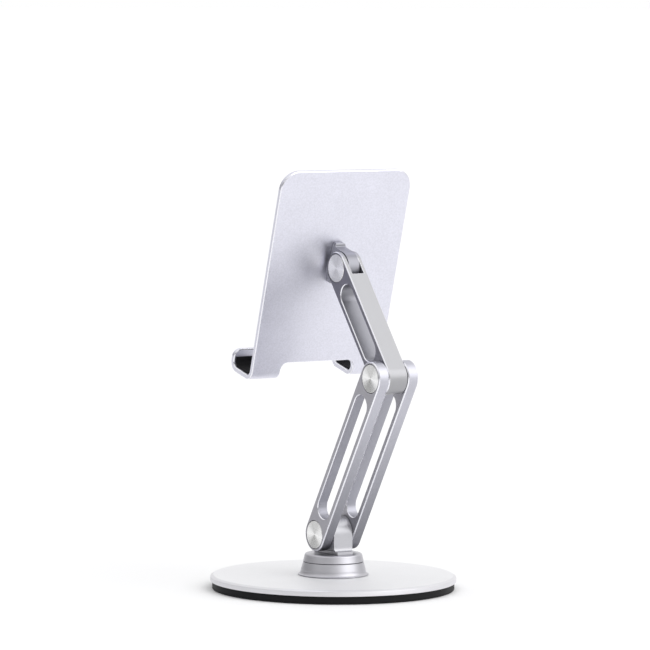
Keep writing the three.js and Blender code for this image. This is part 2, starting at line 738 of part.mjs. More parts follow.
function tiltScrew() {
  const outer = -UPPER_HALF_WIDTH + CAP_RECESS;
  const inner = -UPPER_HALF_WIDTH + TILT_HEAD_THICKNESS;
  const tip = UPPER_HALF_WIDTH - TILT_HEAD_THICKNESS - TILT_CORE - GAP;
  return turnedX([
    [0, outer + TILT_HEAD_DISH],
    [CAP_RADIUS - CAP_EDGE, outer],
    [CAP_RADIUS, outer + CAP_EDGE],
    [CAP_RADIUS, inner],
    [SCREW_RADIUS, inner],
    [SCREW_RADIUS, tip - TIP_CHAMFER],
    [SCREW_RADIUS - TIP_CHAMFER, tip],
    [0, tip],
  ], CAP_SIDES);
}

// ---------- holder ----------

// Side view of the sheet: straight back, a bend forwards, and a second bend up at the hook's front.
function sheetSide() {
  const outerBend = BEND_RADIUS + SHEET;
  const shape = new THREE.Shape();
  const backCentre = SHEET_FRONT - BEND_RADIUS;
  const frontCentre = HOOK_INNER_FRONT + BEND_RADIUS;
  const bendHeight = HOOK_INNER_BOTTOM + BEND_RADIUS;
  shape.moveTo(SHEET_REAR, SHEET_TOP);
  shape.lineTo(SHEET_FRONT, SHEET_TOP);
  shape.absarc(backCentre, bendHeight, BEND_RADIUS, 0, -Math.PI / 2, true);
  shape.absarc(frontCentre, bendHeight, BEND_RADIUS, -Math.PI / 2, -Math.PI, true);
  shape.lineTo(HOOK_INNER_FRONT, HOOK_TOP);
  shape.lineTo(HOOK_OUTER_FRONT, HOOK_TOP);
  shape.absarc(frontCentre, bendHeight, outerBend, Math.PI, 1.5 * Math.PI, false);
  shape.absarc(backCentre, bendHeight, outerBend, -Math.PI / 2, 0, false);
  shape.closePath();
  return shape;
}

// Front view of the sheet, with round top corners and the notch that leaves two hooks below.
function sheetFront() {
  const low = HOOK_OUTER_BOTTOM - CUT_MARGIN;
  const notchTop = -SEAT_BELOW_PIVOT + NOTCH_ABOVE_SEAT;
  const corner = SHEET_CORNER_RADIUS;
  const notchArc = NOTCH_HALF_WIDTH - NOTCH_FILLET;
  const shape = new THREE.Shape();
  shape.moveTo(NOTCH_HALF_WIDTH, low);
  shape.lineTo(SHEET_HALF_WIDTH, low);
  shape.absarc(SHEET_HALF_WIDTH - corner, SHEET_TOP - corner, corner, 0, Math.PI / 2, false);
  shape.absarc(-SHEET_HALF_WIDTH + corner, SHEET_TOP - corner, corner, Math.PI / 2, Math.PI, false);
  shape.lineTo(-SHEET_HALF_WIDTH, low);
  shape.lineTo(-NOTCH_HALF_WIDTH, low);
  shape.absarc(-notchArc, notchTop - NOTCH_FILLET, NOTCH_FILLET, Math.PI, Math.PI / 2, true);
  shape.absarc(notchArc, notchTop - NOTCH_FILLET, NOTCH_FILLET, Math.PI / 2, 0, true);
  shape.closePath();
  return shape;
}

// What each hook's front lip keeps: everything behind it, and a lip with round upper corners.
function lipKeeper() {
  const middle = (SHEET_HALF_WIDTH + NOTCH_HALF_WIDTH) / 2;
  const half = (SHEET_HALF_WIDTH - NOTCH_HALF_WIDTH) / 2;
  const below = HOOK_OUTER_BOTTOM - 2 * HOOK_LIP_CORNER;
  const outline = roundedRectangle(half, below, HOOK_TOP, HOOK_LIP_CORNER);
  const lip = slabY(outline, HOOK_OUTER_FRONT - CUT_MARGIN, HOOK_INNER_FRONT + CUT_MARGIN, CORNER_STEPS);
  const reach = SHEET_HALF_WIDTH + CUT_MARGIN;
  const behind = box(
    -reach, reach,
    HOOK_INNER_FRONT + CUT_MARGIN, SHEET_REAR + CUT_MARGIN,
    HOOK_OUTER_BOTTOM - CUT_MARGIN, SHEET_TOP + CUT_MARGIN,
  );
  return behind.add(lip.translate(middle, 0, 0)).add(lip.translate(-middle, 0, 0));
}

function bracketScrewHoles() {
  const headSeat = SHEET_FRONT + GAP + M3_HEAD_HEIGHT;
  return [-BRACKET_SCREW_OFFSET, BRACKET_SCREW_OFFSET].flatMap((z) => [
    discY(M3_HEAD_RADIUS + GAP, SHEET_FRONT - CUT_MARGIN, headSeat).translate(0, 0, z),
    discY(M3_RADIUS + GAP, SHEET_FRONT, SHEET_REAR + CUT_MARGIN).translate(0, 0, z),
  ]);
}

function holderPlate() {
  const side = slabX(sheetSide(), 2 * SHEET_HALF_WIDTH, CORNER_STEPS);
  const front = slabY(sheetFront(), HOOK_OUTER_FRONT - CUT_MARGIN, SHEET_REAR + CUT_MARGIN, CORNER_STEPS);
  return cutAll(side.intersect(front).intersect(lipKeeper()), bracketScrewHoles());
}

function bracketScrew() {
  const screw = flatScrewZ(
    SHEET_FRONT, SHEET_FRONT + M3_HEAD_HEIGHT, BRACKET_SCREW_ROOF - GAP, M3_RADIUS, M3_HEAD_RADIUS,
  );
  return screw.rotate([-90, 0, 0]);
}

// Soft sheet on the front of the holder, above the notch.
function holderPad() {
  const low = -SEAT_BELOW_PIVOT + NOTCH_ABOVE_SEAT + PAD_MARGIN;
  const high = SHEET_TOP - PAD_MARGIN;
  const outline = roundedRectangle(SHEET_HALF_WIDTH - PAD_MARGIN, low, high, PAD_CORNER_RADIUS);
  return slabY(outline, PAD_FRONT, SHEET_FRONT - SEAT, CORNER_STEPS);
}

// Thin L-shaped strip in a hook: along its floor and up its front lip.
function hookPad(side) {
  const bendHeight = HOOK_INNER_BOTTOM + BEND_RADIUS;
  const outerRadius = BEND_RADIUS - SEAT;
  const innerRadius = outerRadius - HOOK_PAD;
  const frontCentre = HOOK_INNER_FRONT + BEND_RADIUS;
  const back = SHEET_FRONT - BEND_RADIUS - GAP;
  const top = HOOK_TOP - HOOK_LIP_CORNER;
  const shape = new THREE.Shape();
  shape.moveTo(back, bendHeight - outerRadius);
  shape.lineTo(back, bendHeight - innerRadius);
  shape.absarc(frontCentre, bendHeight, innerRadius, -Math.PI / 2, -Math.PI, true);
  shape.lineTo(frontCentre - innerRadius, top);
  shape.lineTo(frontCentre - outerRadius, top);
  shape.absarc(frontCentre, bendHeight, outerRadius, Math.PI, 1.5 * Math.PI, false);
  shape.closePath();
  const width = SHEET_HALF_WIDTH - NOTCH_HALF_WIDTH - 2 * HOOK_PAD_MARGIN;
  const middle = (SHEET_HALF_WIDTH + NOTCH_HALF_WIDTH) / 2;
  return slabX(shape, width, CORNER_STEPS).translate(side * middle, 0, 0);
}

// ---------- assembly ----------

function groupAt(x, y, z, leanDegrees) {
  const group = new THREE.Group();
  group.position.set(x, y, z);
  group.rotation.x = -THREE.MathUtils.degToRad(leanDegrees);
  return group;
}

const stand = new THREE.Group();
const lowerArmGroup = groupAt(0, 0, LOWER_PIVOT_Z, LOWER_LEAN);
const upperArmGroup = groupAt(0, 0, LOWER_LENGTH, UPPER_LEAN - LOWER_LEAN);
const holderGroup = groupAt(0, 0, UPPER_LENGTH, HOLDER_LEAN - UPPER_LEAN);
stand.add(lowerArmGroup);
lowerArmGroup.add(upperArmGroup);
upperArmGroup.add(holderGroup);

function mirrored(body) {
  return body.mirror([1, 0, 0]);
}

// Base and swivel.
stand.add(pieceMesh('base_pad', basePad(), LOOKS.rubber()));
stand.add(pieceMesh('weight_disc', weightDisc(), LOOKS.weight()));
stand.add(pieceMesh('base_plate', basePlate(), LOOKS.silver()));
stand.add(pieceMesh('base_collar', baseCollar(), LOOKS.armSilver()));
collarScrewPlaces().forEach(([x, y], i) => {
  const screw = pieceMesh(`collar_screw_${i + 1}`, collarScrew(), LOOKS.steel());
  screw.position.set(x, y, 0);
  stand.add(screw);
});
stand.add(pieceMesh('swivel_washer', swivelWasher(), LOOKS.nylon()));
stand.add(pieceMesh('swivel_ring', swivelRing(), LOOKS.armSilver()));
stand.add(pieceMesh('swivel_bolt', swivelBolt(), LOOKS.steel()));
stand.add(pieceMesh('swivel_spring', swivelSpring(), LOOKS.steel()));
stand.add(pieceMesh('swivel_nut', swivelNut(), LOOKS.steel()));

const lug = pieceMesh('lower_lug', lowerLug(), LOOKS.armSilver());
lug.position.z = LOWER_PIVOT_Z;
stand.add(lug);
[-1, 1].forEach((side, i) => {
  const screw = pieceMesh(`lug_screw_${i + 1}`, lugScrew(), LOOKS.steel());
  screw.position.y = side * LUG_SCREW_OFFSET;
  stand.add(screw);
});

// Lower arm, with the hardware of the pivots at both of its ends.
lowerArmGroup.add(pieceMesh('lower_arm_right', lowerArmPlate(), LOOKS.armSilver()));
lowerArmGroup.add(pieceMesh('lower_arm_left', mirrored(lowerArmPlate()), LOOKS.armSilver()));
for (const [pivot, z] of [['lower', 0], ['elbow', LOWER_LENGTH]]) {
  const washer = frictionWasher(PLATE_INNER, BORE_RADIUS, WASHER_THICKNESS);
  const pieces = [
    pieceMesh(`${pivot}_pivot_sleeve`, pivotSleeve(), LOOKS.steel()),
    pieceMesh(`${pivot}_pivot_screw`, pivotScrew(), LOOKS.steel()),
    pieceMesh(`${pivot}_pivot_nut`, pivotNut(), LOOKS.steel()),
    pieceMesh(`${pivot}_washer_right`, washer, LOOKS.nylon()),
    pieceMesh(`${pivot}_washer_left`, mirrored(washer), LOOKS.nylon()),
    pieceMesh(`${pivot}_cap_right`, pivotCap(), LOOKS.spun()),
    pieceMesh(`${pivot}_cap_left`, mirrored(pivotCap()), LOOKS.spun()),
  ];
  for (const piece of pieces) {
    piece.position.z = z;
    lowerArmGroup.add(piece);
  }
}

// Upper arm, with the hardware of the tilt pivot.
upperArmGroup.add(pieceMesh('upper_arm', upperArm(), LOOKS.armSilver()));
const tiltWasher = frictionWasher(FORK_HALF_GAP, TILT_BORE_RADIUS, TILT_WASHER_THICKNESS);
const tiltPieces = [
  pieceMesh('tilt_barrel', tiltBarrel(), LOOKS.spun()),
  pieceMesh('tilt_screw', tiltScrew(), LOOKS.spun()),
  pieceMesh('tilt_washer_right', tiltWasher, LOOKS.nylon()),
  pieceMesh('tilt_washer_left', mirrored(tiltWasher), LOOKS.nylon()),
];
for (const piece of tiltPieces) {
  piece.position.z = UPPER_LENGTH;
  upperArmGroup.add(piece);
}

// Holder. The bracket is drawn standing on its foot, so it is turned to stand on the sheet's rear face.
const bracket = pieceMesh('upper_bracket', upperBracket(), LOOKS.armSilver());
bracket.rotation.x = -Math.PI / 2;
holderGroup.add(bracket);
[-1, 1].forEach((side, i) => {
  const screw = pieceMesh(`bracket_screw_${i + 1}`, bracketScrew(), LOOKS.steel());
  screw.position.z = side * BRACKET_SCREW_OFFSET;
  holderGroup.add(screw);
});
holderGroup.add(pieceMesh('holder_plate', holderPlate(), LOOKS.silver()));
holderGroup.add(pieceMesh('holder_pad', holderPad(), LOOKS.rubber()));
holderGroup.add(pieceMesh('hook_pad_right', hookPad(1), LOOKS.rubber()));
holderGroup.add(pieceMesh('hook_pad_left', hookPad(-1), LOOKS.rubber()));

export default stand;
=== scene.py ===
"""Looks of a desk stand for a tablet: a weighted swivel base, a slotted folding arm and a bent sheet holder.

Each moving link is drawn in its own frame, in millimetres: the origin is on its hinge, X runs along the
hinge, Z along the link, and Y points to the stand's rear.
"""

import json
import math

import bmesh
import bpy
from mathutils import Matrix, Vector
from mathutils.geometry import tessellate_polygon


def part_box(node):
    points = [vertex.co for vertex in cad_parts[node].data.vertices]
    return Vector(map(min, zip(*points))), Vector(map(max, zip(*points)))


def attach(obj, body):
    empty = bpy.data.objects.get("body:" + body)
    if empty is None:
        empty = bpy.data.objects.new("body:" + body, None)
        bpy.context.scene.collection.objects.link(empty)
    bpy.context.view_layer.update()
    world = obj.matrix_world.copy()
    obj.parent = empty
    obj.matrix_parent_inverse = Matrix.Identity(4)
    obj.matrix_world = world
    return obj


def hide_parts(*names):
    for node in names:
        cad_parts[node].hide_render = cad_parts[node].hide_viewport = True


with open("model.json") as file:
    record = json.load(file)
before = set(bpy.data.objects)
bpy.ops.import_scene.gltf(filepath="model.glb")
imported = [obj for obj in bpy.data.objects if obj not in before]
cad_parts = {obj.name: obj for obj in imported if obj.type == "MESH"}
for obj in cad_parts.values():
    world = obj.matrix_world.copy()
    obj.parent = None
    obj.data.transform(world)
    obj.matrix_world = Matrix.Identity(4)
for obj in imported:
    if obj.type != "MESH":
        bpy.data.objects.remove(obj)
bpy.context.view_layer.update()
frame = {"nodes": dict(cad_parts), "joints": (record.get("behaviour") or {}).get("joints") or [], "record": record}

MM = 0.001
TURNED_STEPS = 160
ROUND_STEPS = 96
SMALL_STEPS = 32
ARC_STEPS = 28
QUARTER_TURN = [math.pi / 2 * i / 12 for i in range(13)]

# ---------- sizes, in millimetres, that the CAD boxes don't give on their own ----------

CLEARANCE = 0.3  # between a piece and the hole or recess that it sits in

# base
PAD_FLOOR = 1.5
PAD_EASE = 0.35
PAD_EDGE = 0.12
GROOVES, FIRST_GROOVE, GROOVE_STEP = 5, 24, 7
GROOVE_HALF, GROOVE_FLOOR_HALF, GROOVE_DEPTH = 0.7, 0.5, 0.25
BASE_BEVEL_OUT, BASE_BEVEL_DOWN = 1.5, 0.9
RIM_EASE = 0.3
ACCESS_RADIUS = 6.5

# swivel
COLLAR_SHADOW_GAP = 0.7
COLLAR_LEDGE = 0.4
COLLAR_FLARE_HEIGHT = 2.7
COLLAR_WAIST_RADIUS = 16.6
COLLAR_RADIUS = 15.6
COLLAR_CAVITY_RADIUS = 9.6
COLLAR_WEB = 3.5
SWIVEL_WASHER_RADIUS = 12
BOLT_RADIUS = 2.7
BOLT_HEAD_RADIUS = 4.2
RING_RADIUS = 15.55
RING_TOP_RADIUS = 14.9
RING_ROUND = 1.3
RING_FLOOR = 1.5

# screws
COLLAR_SCREWS = ("collar_screw_1", "collar_screw_2", "collar_screw_3")
LUG_SCREWS = ("lug_screw_1", "lug_screw_2")
M3_RADIUS = 1.25
M3_HEAD_RADIUS = 2.5
M3_HEAD_HEIGHT = 1.5
BRACKET_SCREW_OFFSET = 6.6
BRACKET_SCREW_LENGTH = 6.8

# lower lug and upper bracket
FOOT_HALF_LENGTH = 11.1
FOOT_EDGE = 0.3  # height of the foot's upright edge, which stays sharp
LUG_RADIUS = 9.1
LUG_HALF_WIDTH = 5.65
LUG_FOOT_HALF_WIDTH = 4.65
LUG_FOOT_THICKNESS = 1.4
LUG_FOOT_ROUND = 0.2
LUG_FLARE = 2.4
LUG_NECK, LUG_NECK_RISE = 1.5, 2.7
LUG_EDGE = 0.28
BRACKET_BOTTOM = -10.2
BRACKET_RADIUS = 8.8
BRACKET_HALF_WIDTH = 3.15
BRACKET_FOOT_THICKNESS = 3.0
BRACKET_FOOT_ROUND = 1.6
BRACKET_FLARE = 3.0
BRACKET_CORNER = 1.9
BRACKET_EDGE = 0.55
BRACKET_WASHER_FLOOR = 2.45

# arms
PLATE_INNER, PLATE_OUTER = 5.85, 11.85
LOWER_HALF_HEIGHT = 8.6
UPPER_HALF_HEIGHT = 8.4
UPPER_HALF_WIDTH = 5.65
SLOT_RADIUS = 5.65
SLOT_FROM_PIVOT = 11.3
CHAMFER = 0.5
SLOT_CHAMFER = 0.38
BORE = 4.3
CAP_SEAT_RADIUS = 7.42
CAP_SEAT_DEPTH = 1.6
SEAT_RIM = 0.12
POCKET_RADIUS = 5.6
POCKET_DEPTH = 3.6
WASHER_SEAT_RADIUS = 7.1
WASHER_FLOOR = 4.75
FORK_HALF_GAP = 3.45
FORK_DEPTH = 9.2
FORK_EDGE = 0.14
TILT_BORE = 3.5
TILT_SEAT_DEPTH = 1.25

# caps and heads
CAP_RADIUS = 7.2
CAP_INSET = 0.05
CAP_THICKNESS, CAP_DISH = 1.25, 0.22
HEAD_THICKNESS, HEAD_DISH = 0.9, 0.18
CAP_BEVEL, CAP_RIM = 0.16, 0.42
CAP_RINGS, RING_RELIEF = 22, 0.006
BARREL_RADIUS, BARREL_BORE, BARREL_GAP = 3.2, 1.9, 0.6
TILT_SCREW_RADIUS = 1.6

# holder, measured from the tilt pivot
SHEET = 2.5
SHEET_REAR = -10.3
SHEET_FRONT = SHEET_REAR - SHEET
SHEET_TOP = 48.7
SHEET_HALF_WIDTH = 39.4
SHEET_CORNER = 10.0
SHEET_EDGE = 0.38
BEND = 3.0
BEND_STEPS = 12
HOOK_CENTRE_Z = -61.7 + BEND
BACK_CENTRE_Y = SHEET_FRONT - BEND
FRONT_CENTRE_Y = -28.8 + BEND
HOOK_TOP = -53.0
LIP_CORNER = 4.0
NOTCH_HALF_WIDTH = 22.2
NOTCH_TOP = -54.5
NOTCH_FILLET = 4.0
PAD_BORDER = 3
PAD_CORNER = 8
CHANNEL_INSET, CHANNEL_END = 2.2, 3.05
CHANNEL_DEPTH, CHANNEL_WALL = 0.2, 0.15
HOOK_PAD_THICKNESS = 0.6
HOOK_PAD_INSET = 1.2
HOOK_PAD_BELOW_LIP = 4.0
HOOK_PAD_EDGE = 0.18


# ---------- places ----------

joints = {j["name"]: j for j in frame["joints"]}
mounts = {m["name"]: m for m in frame["record"]["mounts"]}


def pivot(name):
    return Vector(joints[name]["pos_m"])


def lean_between(low, high):
    return math.atan2(high.y - low.y, high.z - low.z)


def link_frame(point, lean):
    return Matrix.Translation(point) @ Matrix.Rotation(-lean, 4, "X")


lower_pivot, elbow_pivot, tilt_pivot = (pivot(n) for n in ("lower_hinge", "elbow_hinge", "holder_tilt"))
back_axis = mounts["tablet_back"]["axis"]
lower_lean = lean_between(lower_pivot, elbow_pivot)
upper_lean = lean_between(elbow_pivot, tilt_pivot)
holder_lean = math.atan2(back_axis[2], -back_axis[1])
LOWER_LENGTH = (elbow_pivot - lower_pivot).length / MM
UPPER_LENGTH = (tilt_pivot - elbow_pivot).length / MM
stand_frame = Matrix.Identity(4)
lower_frame = link_frame(lower_pivot, lower_lean)
elbow_frame = link_frame(elbow_pivot, lower_lean)
upper_frame = link_frame(elbow_pivot, upper_lean)
tilt_frame = link_frame(tilt_pivot, upper_lean)
holder_frame = link_frame(tilt_pivot, holder_lean)
bracket_frame = holder_frame @ Matrix.Rotation(-math.pi / 2, 4, "X")


def box_mm(name):
    low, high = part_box(name)
    return low / MM, high / MM


# ---------- materials ----------

# A Mix node has sockets of its own for numbers and for colours: A, B and the result.
NUMBER_A, NUMBER_B, NUMBER_RESULT = 2, 3, 0
COLOR_A, COLOR_B, COLOR_RESULT = 6, 7, 2


def link(tree, source, target):
    tree.links.new(source, target)


def node(tree, kind, **values):
    made = tree.nodes.new(kind)
    for key, value in values.items():
        setattr(made, key, value)
    return made


def noise(tree, coordinates, scale, detail=2.0, stretch=(1, 1, 1)):
    mapping = node(tree, "ShaderNodeMapping")
    mapping.inputs["Scale"].default_value = stretch
    link(tree, coordinates, mapping.inputs["Vector"])
    made = node(tree, "ShaderNodeTexNoise")
    made.inputs["Scale"].default_value = scale
    made.inputs["Detail"].default_value = detail
    link(tree, mapping.outputs["Vector"], made.inputs["Vector"])
    return made.outputs["Fac"]


def remap(tree, value, low, high, from_low=0.25, from_high=0.75):
    made = node(tree, "ShaderNodeMapRange")
    made.inputs["From Min"].default_value = from_low
    made.inputs["From Max"].default_value = from_high
    made.inputs["To Min"].default_value = low
    made.inputs["To Max"].default_value = high
    link(tree, value, made.inputs["Value"])
    return made.outputs["Result"]


def combined(tree, first, second, operation="ADD"):
    """The first socket combined with a second socket or a number."""
    made = node(tree, "ShaderNodeMath", operation=operation)
    link(tree, first, made.inputs[0])
    if isinstance(second, (int, float)):
        made.inputs[1].default_value = second
    else:
        link(tree, second, made.inputs[1])
    return made.outputs["Value"]


def tinted(tree, value, color, spread):
    """The colour, darker or lighter by the spread as value goes from 0 to 1."""
    made = node(tree, "ShaderNodeMix", data_type="RGBA")
    made.inputs[COLOR_A].default_value = (*[c * (1 - spread) for c in color], 1)
    made.inputs[COLOR_B].default_value = (*[min(1, c * (1 + spread)) for c in color], 1)
    link(tree, value, made.inputs["Factor"])
    return made.outputs[COLOR_RESULT]


def bump(tree, height, distance, strength=1.0):
    made = node(tree, "ShaderNodeBump")
    made.inputs["Strength"].default_value = strength
    made.inputs["Distance"].default_value = distance
    link(tree, height, made.inputs["Height"])
    return made.outputs["Normal"]


def new_material(name, metallic, roughness):
    material = bpy.data.materials.new(name)
    material.use_nodes = True
    tree = material.node_tree
    shader = tree.nodes["Principled BSDF"]
    shader.inputs["Metallic"].default_value = metallic
    shader.inputs["Roughness"].default_value = roughness
    return material, tree, shader


def object_coordinates(tree):
    return node(tree, "ShaderNodeTexCoord").outputs["Object"]


def blasted_metal(name, color, roughness, grain=0.05, scale=2600, depth=8e-6, stretch=(1, 1, 1), metallic=1.0,
                  painted_foot_shade=1.0):
    """Anodised metal with a fine blasted grain and uneven gloss.

    Below 1, this setting paints shade: the colour darkens towards a link's lower end.
    """
    material, tree, shader = new_material(name, metallic, roughness)
    place = object_coordinates(tree)
    fine = noise(tree, place, scale, 3.0, stretch)
    soft = noise(tree, place, 45, 2.0)
    mixed = combined(tree, remap(tree, fine, 0, 0.75), remap(tree, soft, 0, 0.25))
    shade = tinted(tree, mixed, color, grain)
    # Painted shade: the colour is scaled down towards the lower end of the link.
    if painted_foot_shade < 1:
        parts = node(tree, "ShaderNodeSeparateXYZ")
        link(tree, place, parts.inputs["Vector"])
        height = remap(tree, parts.outputs["Z"], painted_foot_shade, 1.0, -0.005, 0.085)
        scaled = node(tree, "ShaderNodeVectorMath", operation="SCALE")
        link(tree, shade, scaled.inputs[0])
        link(tree, height, scaled.inputs["Scale"])
        shade = scaled.outputs["Vector"]
    link(tree, shade, shader.inputs["Base Color"])
    gloss = combined(
        tree,
        remap(tree, fine, roughness - 0.05, roughness + 0.05),
        remap(tree, soft, -0.02, 0.02),
    )
    link(tree, gloss, shader.inputs["Roughness"])
    link(tree, bump(tree, fine, depth), shader.inputs["Normal"])
    return material


def cut_edge_metal(name, color, roughness):
    """Bright cut chamfer: fine tool lines, and a few nicks where the edge is worn."""
    material, tree, shader = new_material(name, 1.0, roughness)
    place = object_coordinates(tree)
    lines = noise(tree, place, 900, 2.0, (1, 1, 0.15))
    nicks = noise(tree, place, 700, 4.0)
    worn = remap(tree, nicks, 0, 1, 0.62, 0.72)
    shade = combined(tree, lines, combined(tree, worn, -0.25, "MULTIPLY"))
    link(tree, tinted(tree, shade, color, 0.06), shader.inputs["Base Color"])
    gloss = remap(tree, lines, roughness - 0.04, roughness + 0.04)
    gloss = combined(tree, gloss, combined(tree, worn, 0.15, "MULTIPLY"))
    link(tree, gloss, shader.inputs["Roughness"])
    link(tree, bump(tree, lines, 4e-6), shader.inputs["Normal"])
    return material


def spun_metal(name, color, roughness, lean):
    """Face turned on a lathe: uneven rings round X, and a painted highlight of radial streaky lines and two bright
    fans that run out level from the centre.
    """
    material, tree, shader = new_material(name, 1.0, roughness)
    parts = node(tree, "ShaderNodeSeparateXYZ")
    link(tree, object_coordinates(tree), parts.inputs["Vector"])
    flat = node(tree, "ShaderNodeCombineXYZ")
    link(tree, parts.outputs["Y"], flat.inputs["X"])
    link(tree, parts.outputs["Z"], flat.inputs["Y"])
    radius = node(tree, "ShaderNodeVectorMath", operation="LENGTH")
    link(tree, flat.outputs["Vector"], radius.inputs[0])
    rings = node(tree, "ShaderNodeTexNoise", noise_dimensions="1D")
    rings.inputs["Scale"].default_value = 5200
    rings.inputs["Detail"].default_value = 3
    link(tree, radius.outputs["Value"], rings.inputs["W"])
    ring_tone = rings.outputs["Fac"]
    outward = node(tree, "ShaderNodeVectorMath", operation="NORMALIZE")
    link(tree, flat.outputs["Vector"], outward.inputs[0])
    # Painted highlight: radial lines, and two bright fans where the face runs along the lean direction.
    painted_streaks = noise(tree, outward.outputs["Vector"], 9, 3.0)
    across = node(tree, "ShaderNodeVectorMath", operation="DOT_PRODUCT")
    across.inputs[1].default_value = (math.cos(lean), math.sin(lean), 0)
    link(tree, outward.outputs["Vector"], across.inputs[0])
    squared = combined(tree, across.outputs["Value"], across.outputs["Value"], "MULTIPLY")
    painted_bow_tie = remap(tree, squared, 0, 0.5, 0.25, 1.0)
    shade = combined(tree, remap(tree, ring_tone, 0, 0.2), remap(tree, painted_streaks, 0, 0.3))
    shade = combined(tree, shade, painted_bow_tie)
    link(tree, tinted(tree, shade, color, 0.45), shader.inputs["Base Color"])
    link(tree, remap(tree, ring_tone, roughness - 0.05, roughness + 0.06), shader.inputs["Roughness"])
    link(tree, bump(tree, ring_tone, 5e-6), shader.inputs["Normal"])
    tangent = node(tree, "ShaderNodeTangent", direction_type="RADIAL", axis="X")
    link(tree, tangent.outputs["Tangent"], shader.inputs["Tangent"])
    shader.inputs["Anisotropic"].default_value = 0.9
    shader.inputs["Anisotropic Rotation"].default_value = 0.25
    return material


def rubber(name, color, roughness, scale=1800, depth=2.5e-5):
    """Moulded rubber with a fine matt texture and dusty patches."""
    material, tree, shader = new_material(name, 0.0, roughness)
    place = object_coordinates(tree)
    fine = noise(tree, place, scale, 3.0)
    dust = noise(tree, place, 30, 3.0)
    mixed = combined(tree, remap(tree, fine, 0, 0.5), remap(tree, dust, 0, 0.5))
    link(tree, tinted(tree, mixed, color, 0.35), shader.inputs["Base Color"])
    link(tree, remap(tree, dust, roughness - 0.08, roughness + 0.08), shader.inputs["Roughness"])
    link(tree, bump(tree, fine, depth), shader.inputs["Normal"])
    shader.inputs["Specular IOR Level"].default_value = 0.2
    return material


def plain_plastic(name, color, roughness):
    material, tree, shader = new_material(name, 0.0, roughness)
    fine = noise(tree, object_coordinates(tree), 900, 3.0)
    link(tree, tinted(tree, fine, color, 0.06), shader.inputs["Base Color"])
    link(tree, remap(tree, fine, roughness - 0.05, roughness + 0.05), shader.inputs["Roughness"])
    link(tree, bump(tree, fine, 1e-5), shader.inputs["Normal"])
    return material


BASE_SILVER = blasted_metal("base_silver", (0.84, 0.84, 0.855), 0.60, depth=1e-5, metallic=0.6)
BASE_EDGE = blasted_metal("base_edge", (0.78, 0.775, 0.80), 0.46, depth=6e-6)
SHEET_SILVER = blasted_metal("sheet_silver", (0.75, 0.75, 0.83), 0.37, grain=0.10, scale=1400, depth=2e-5)
# The arm metal darkens towards the lower arm's foot: painted shade.
ARM_SILVER = blasted_metal("arm_silver", (0.55, 0.55, 0.605), 0.46, grain=0.05, scale=1800, painted_foot_shade=0.38)
# Darker copies of the arm metal for the side faces and the slot walls: painted shade.
ARM_SIDE_PAINTED_SHADE = blasted_metal("arm_side_painted_shade", (0.40, 0.395, 0.43), 0.44, grain=0.05, scale=1800)
# Much darker copy for the upper arm's side faces: a painted reflection of a dark tablet, which is not drawn.
UPPER_SIDE_PAINTED_REFLECTION = blasted_metal("upper_side_painted_reflection", (0.20, 0.197, 0.23), 0.42, grain=0.05, scale=1800)
ARM_SLOT_PAINTED_SHADE = blasted_metal("arm_slot_painted_shade", (0.40, 0.40, 0.445), 0.42, grain=0.05, scale=1800)
UPPER_SILVER = blasted_metal("upper_silver", (0.40, 0.40, 0.415), 0.46, grain=0.05, scale=1800)
# Darker copy of the metal for the bracket and the upper arm's slot walls: painted shade.
BRACKET_SILVER_PAINTED_SHADE = blasted_metal("bracket_silver_painted_shade", (0.30, 0.30, 0.33), 0.42, grain=0.05, scale=1800)
LUG_SILVER = blasted_metal("lug_silver", (0.50, 0.50, 0.525), 0.46, grain=0.05, stretch=(0.2, 1, 1))
COLLAR_SILVER = blasted_metal("collar_silver", (0.55, 0.545, 0.58), 0.42, grain=0.02, depth=5e-6)
BRIGHT_EDGE = cut_edge_metal("bright_edge", (0.90, 0.90, 0.95), 0.24)
# The lean turns each painted highlight so that its bright fans lie level.
SPUN = spun_metal("spun_metal", (0.88, 0.88, 0.87), 0.24, lower_lean)
SPUN_HEAD = spun_metal("spun_head", (0.95, 0.95, 0.945), 0.24, upper_lean)
STEEL = blasted_metal("zinc_steel", (0.55, 0.56, 0.58), 0.35)
WEIGHT = blasted_metal("weight_iron", (0.22, 0.22, 0.23), 0.6)
BLACK_RUBBER = rubber("black_rubber", (0.006, 0.006, 0.007), 0.6)
PAD_RUBBER = rubber("pad_rubber", (0.012, 0.012, 0.014), 0.72, 2400, 4e-5)
NYLON = plain_plastic("nylon", (0.82, 0.81, 0.77), 0.5)

SLOT_LOOKS = {
    "base_silver": BASE_SILVER,
    "sheet_silver": SHEET_SILVER,
    "arm_silver": ARM_SILVER,
    "spun_metal": SPUN,
    "steel": STEEL,
    "weight": WEIGHT,
    "rubber": BLACK_RUBBER,
    "nylon": NYLON,
}
for part in frame["record"]["subparts"]:
    shown = frame["nodes"][part["node"]]
    shown.data.materials.clear()
    shown.data.materials.append(SLOT_LOOKS[part["material_slot"]])


# ---------- meshes ----------

# Material numbers: the main or side face, the bright cut edge, and an arm's outer wall and slot wall.
SIDE, EDGE, WALL, SLOT = range(4)


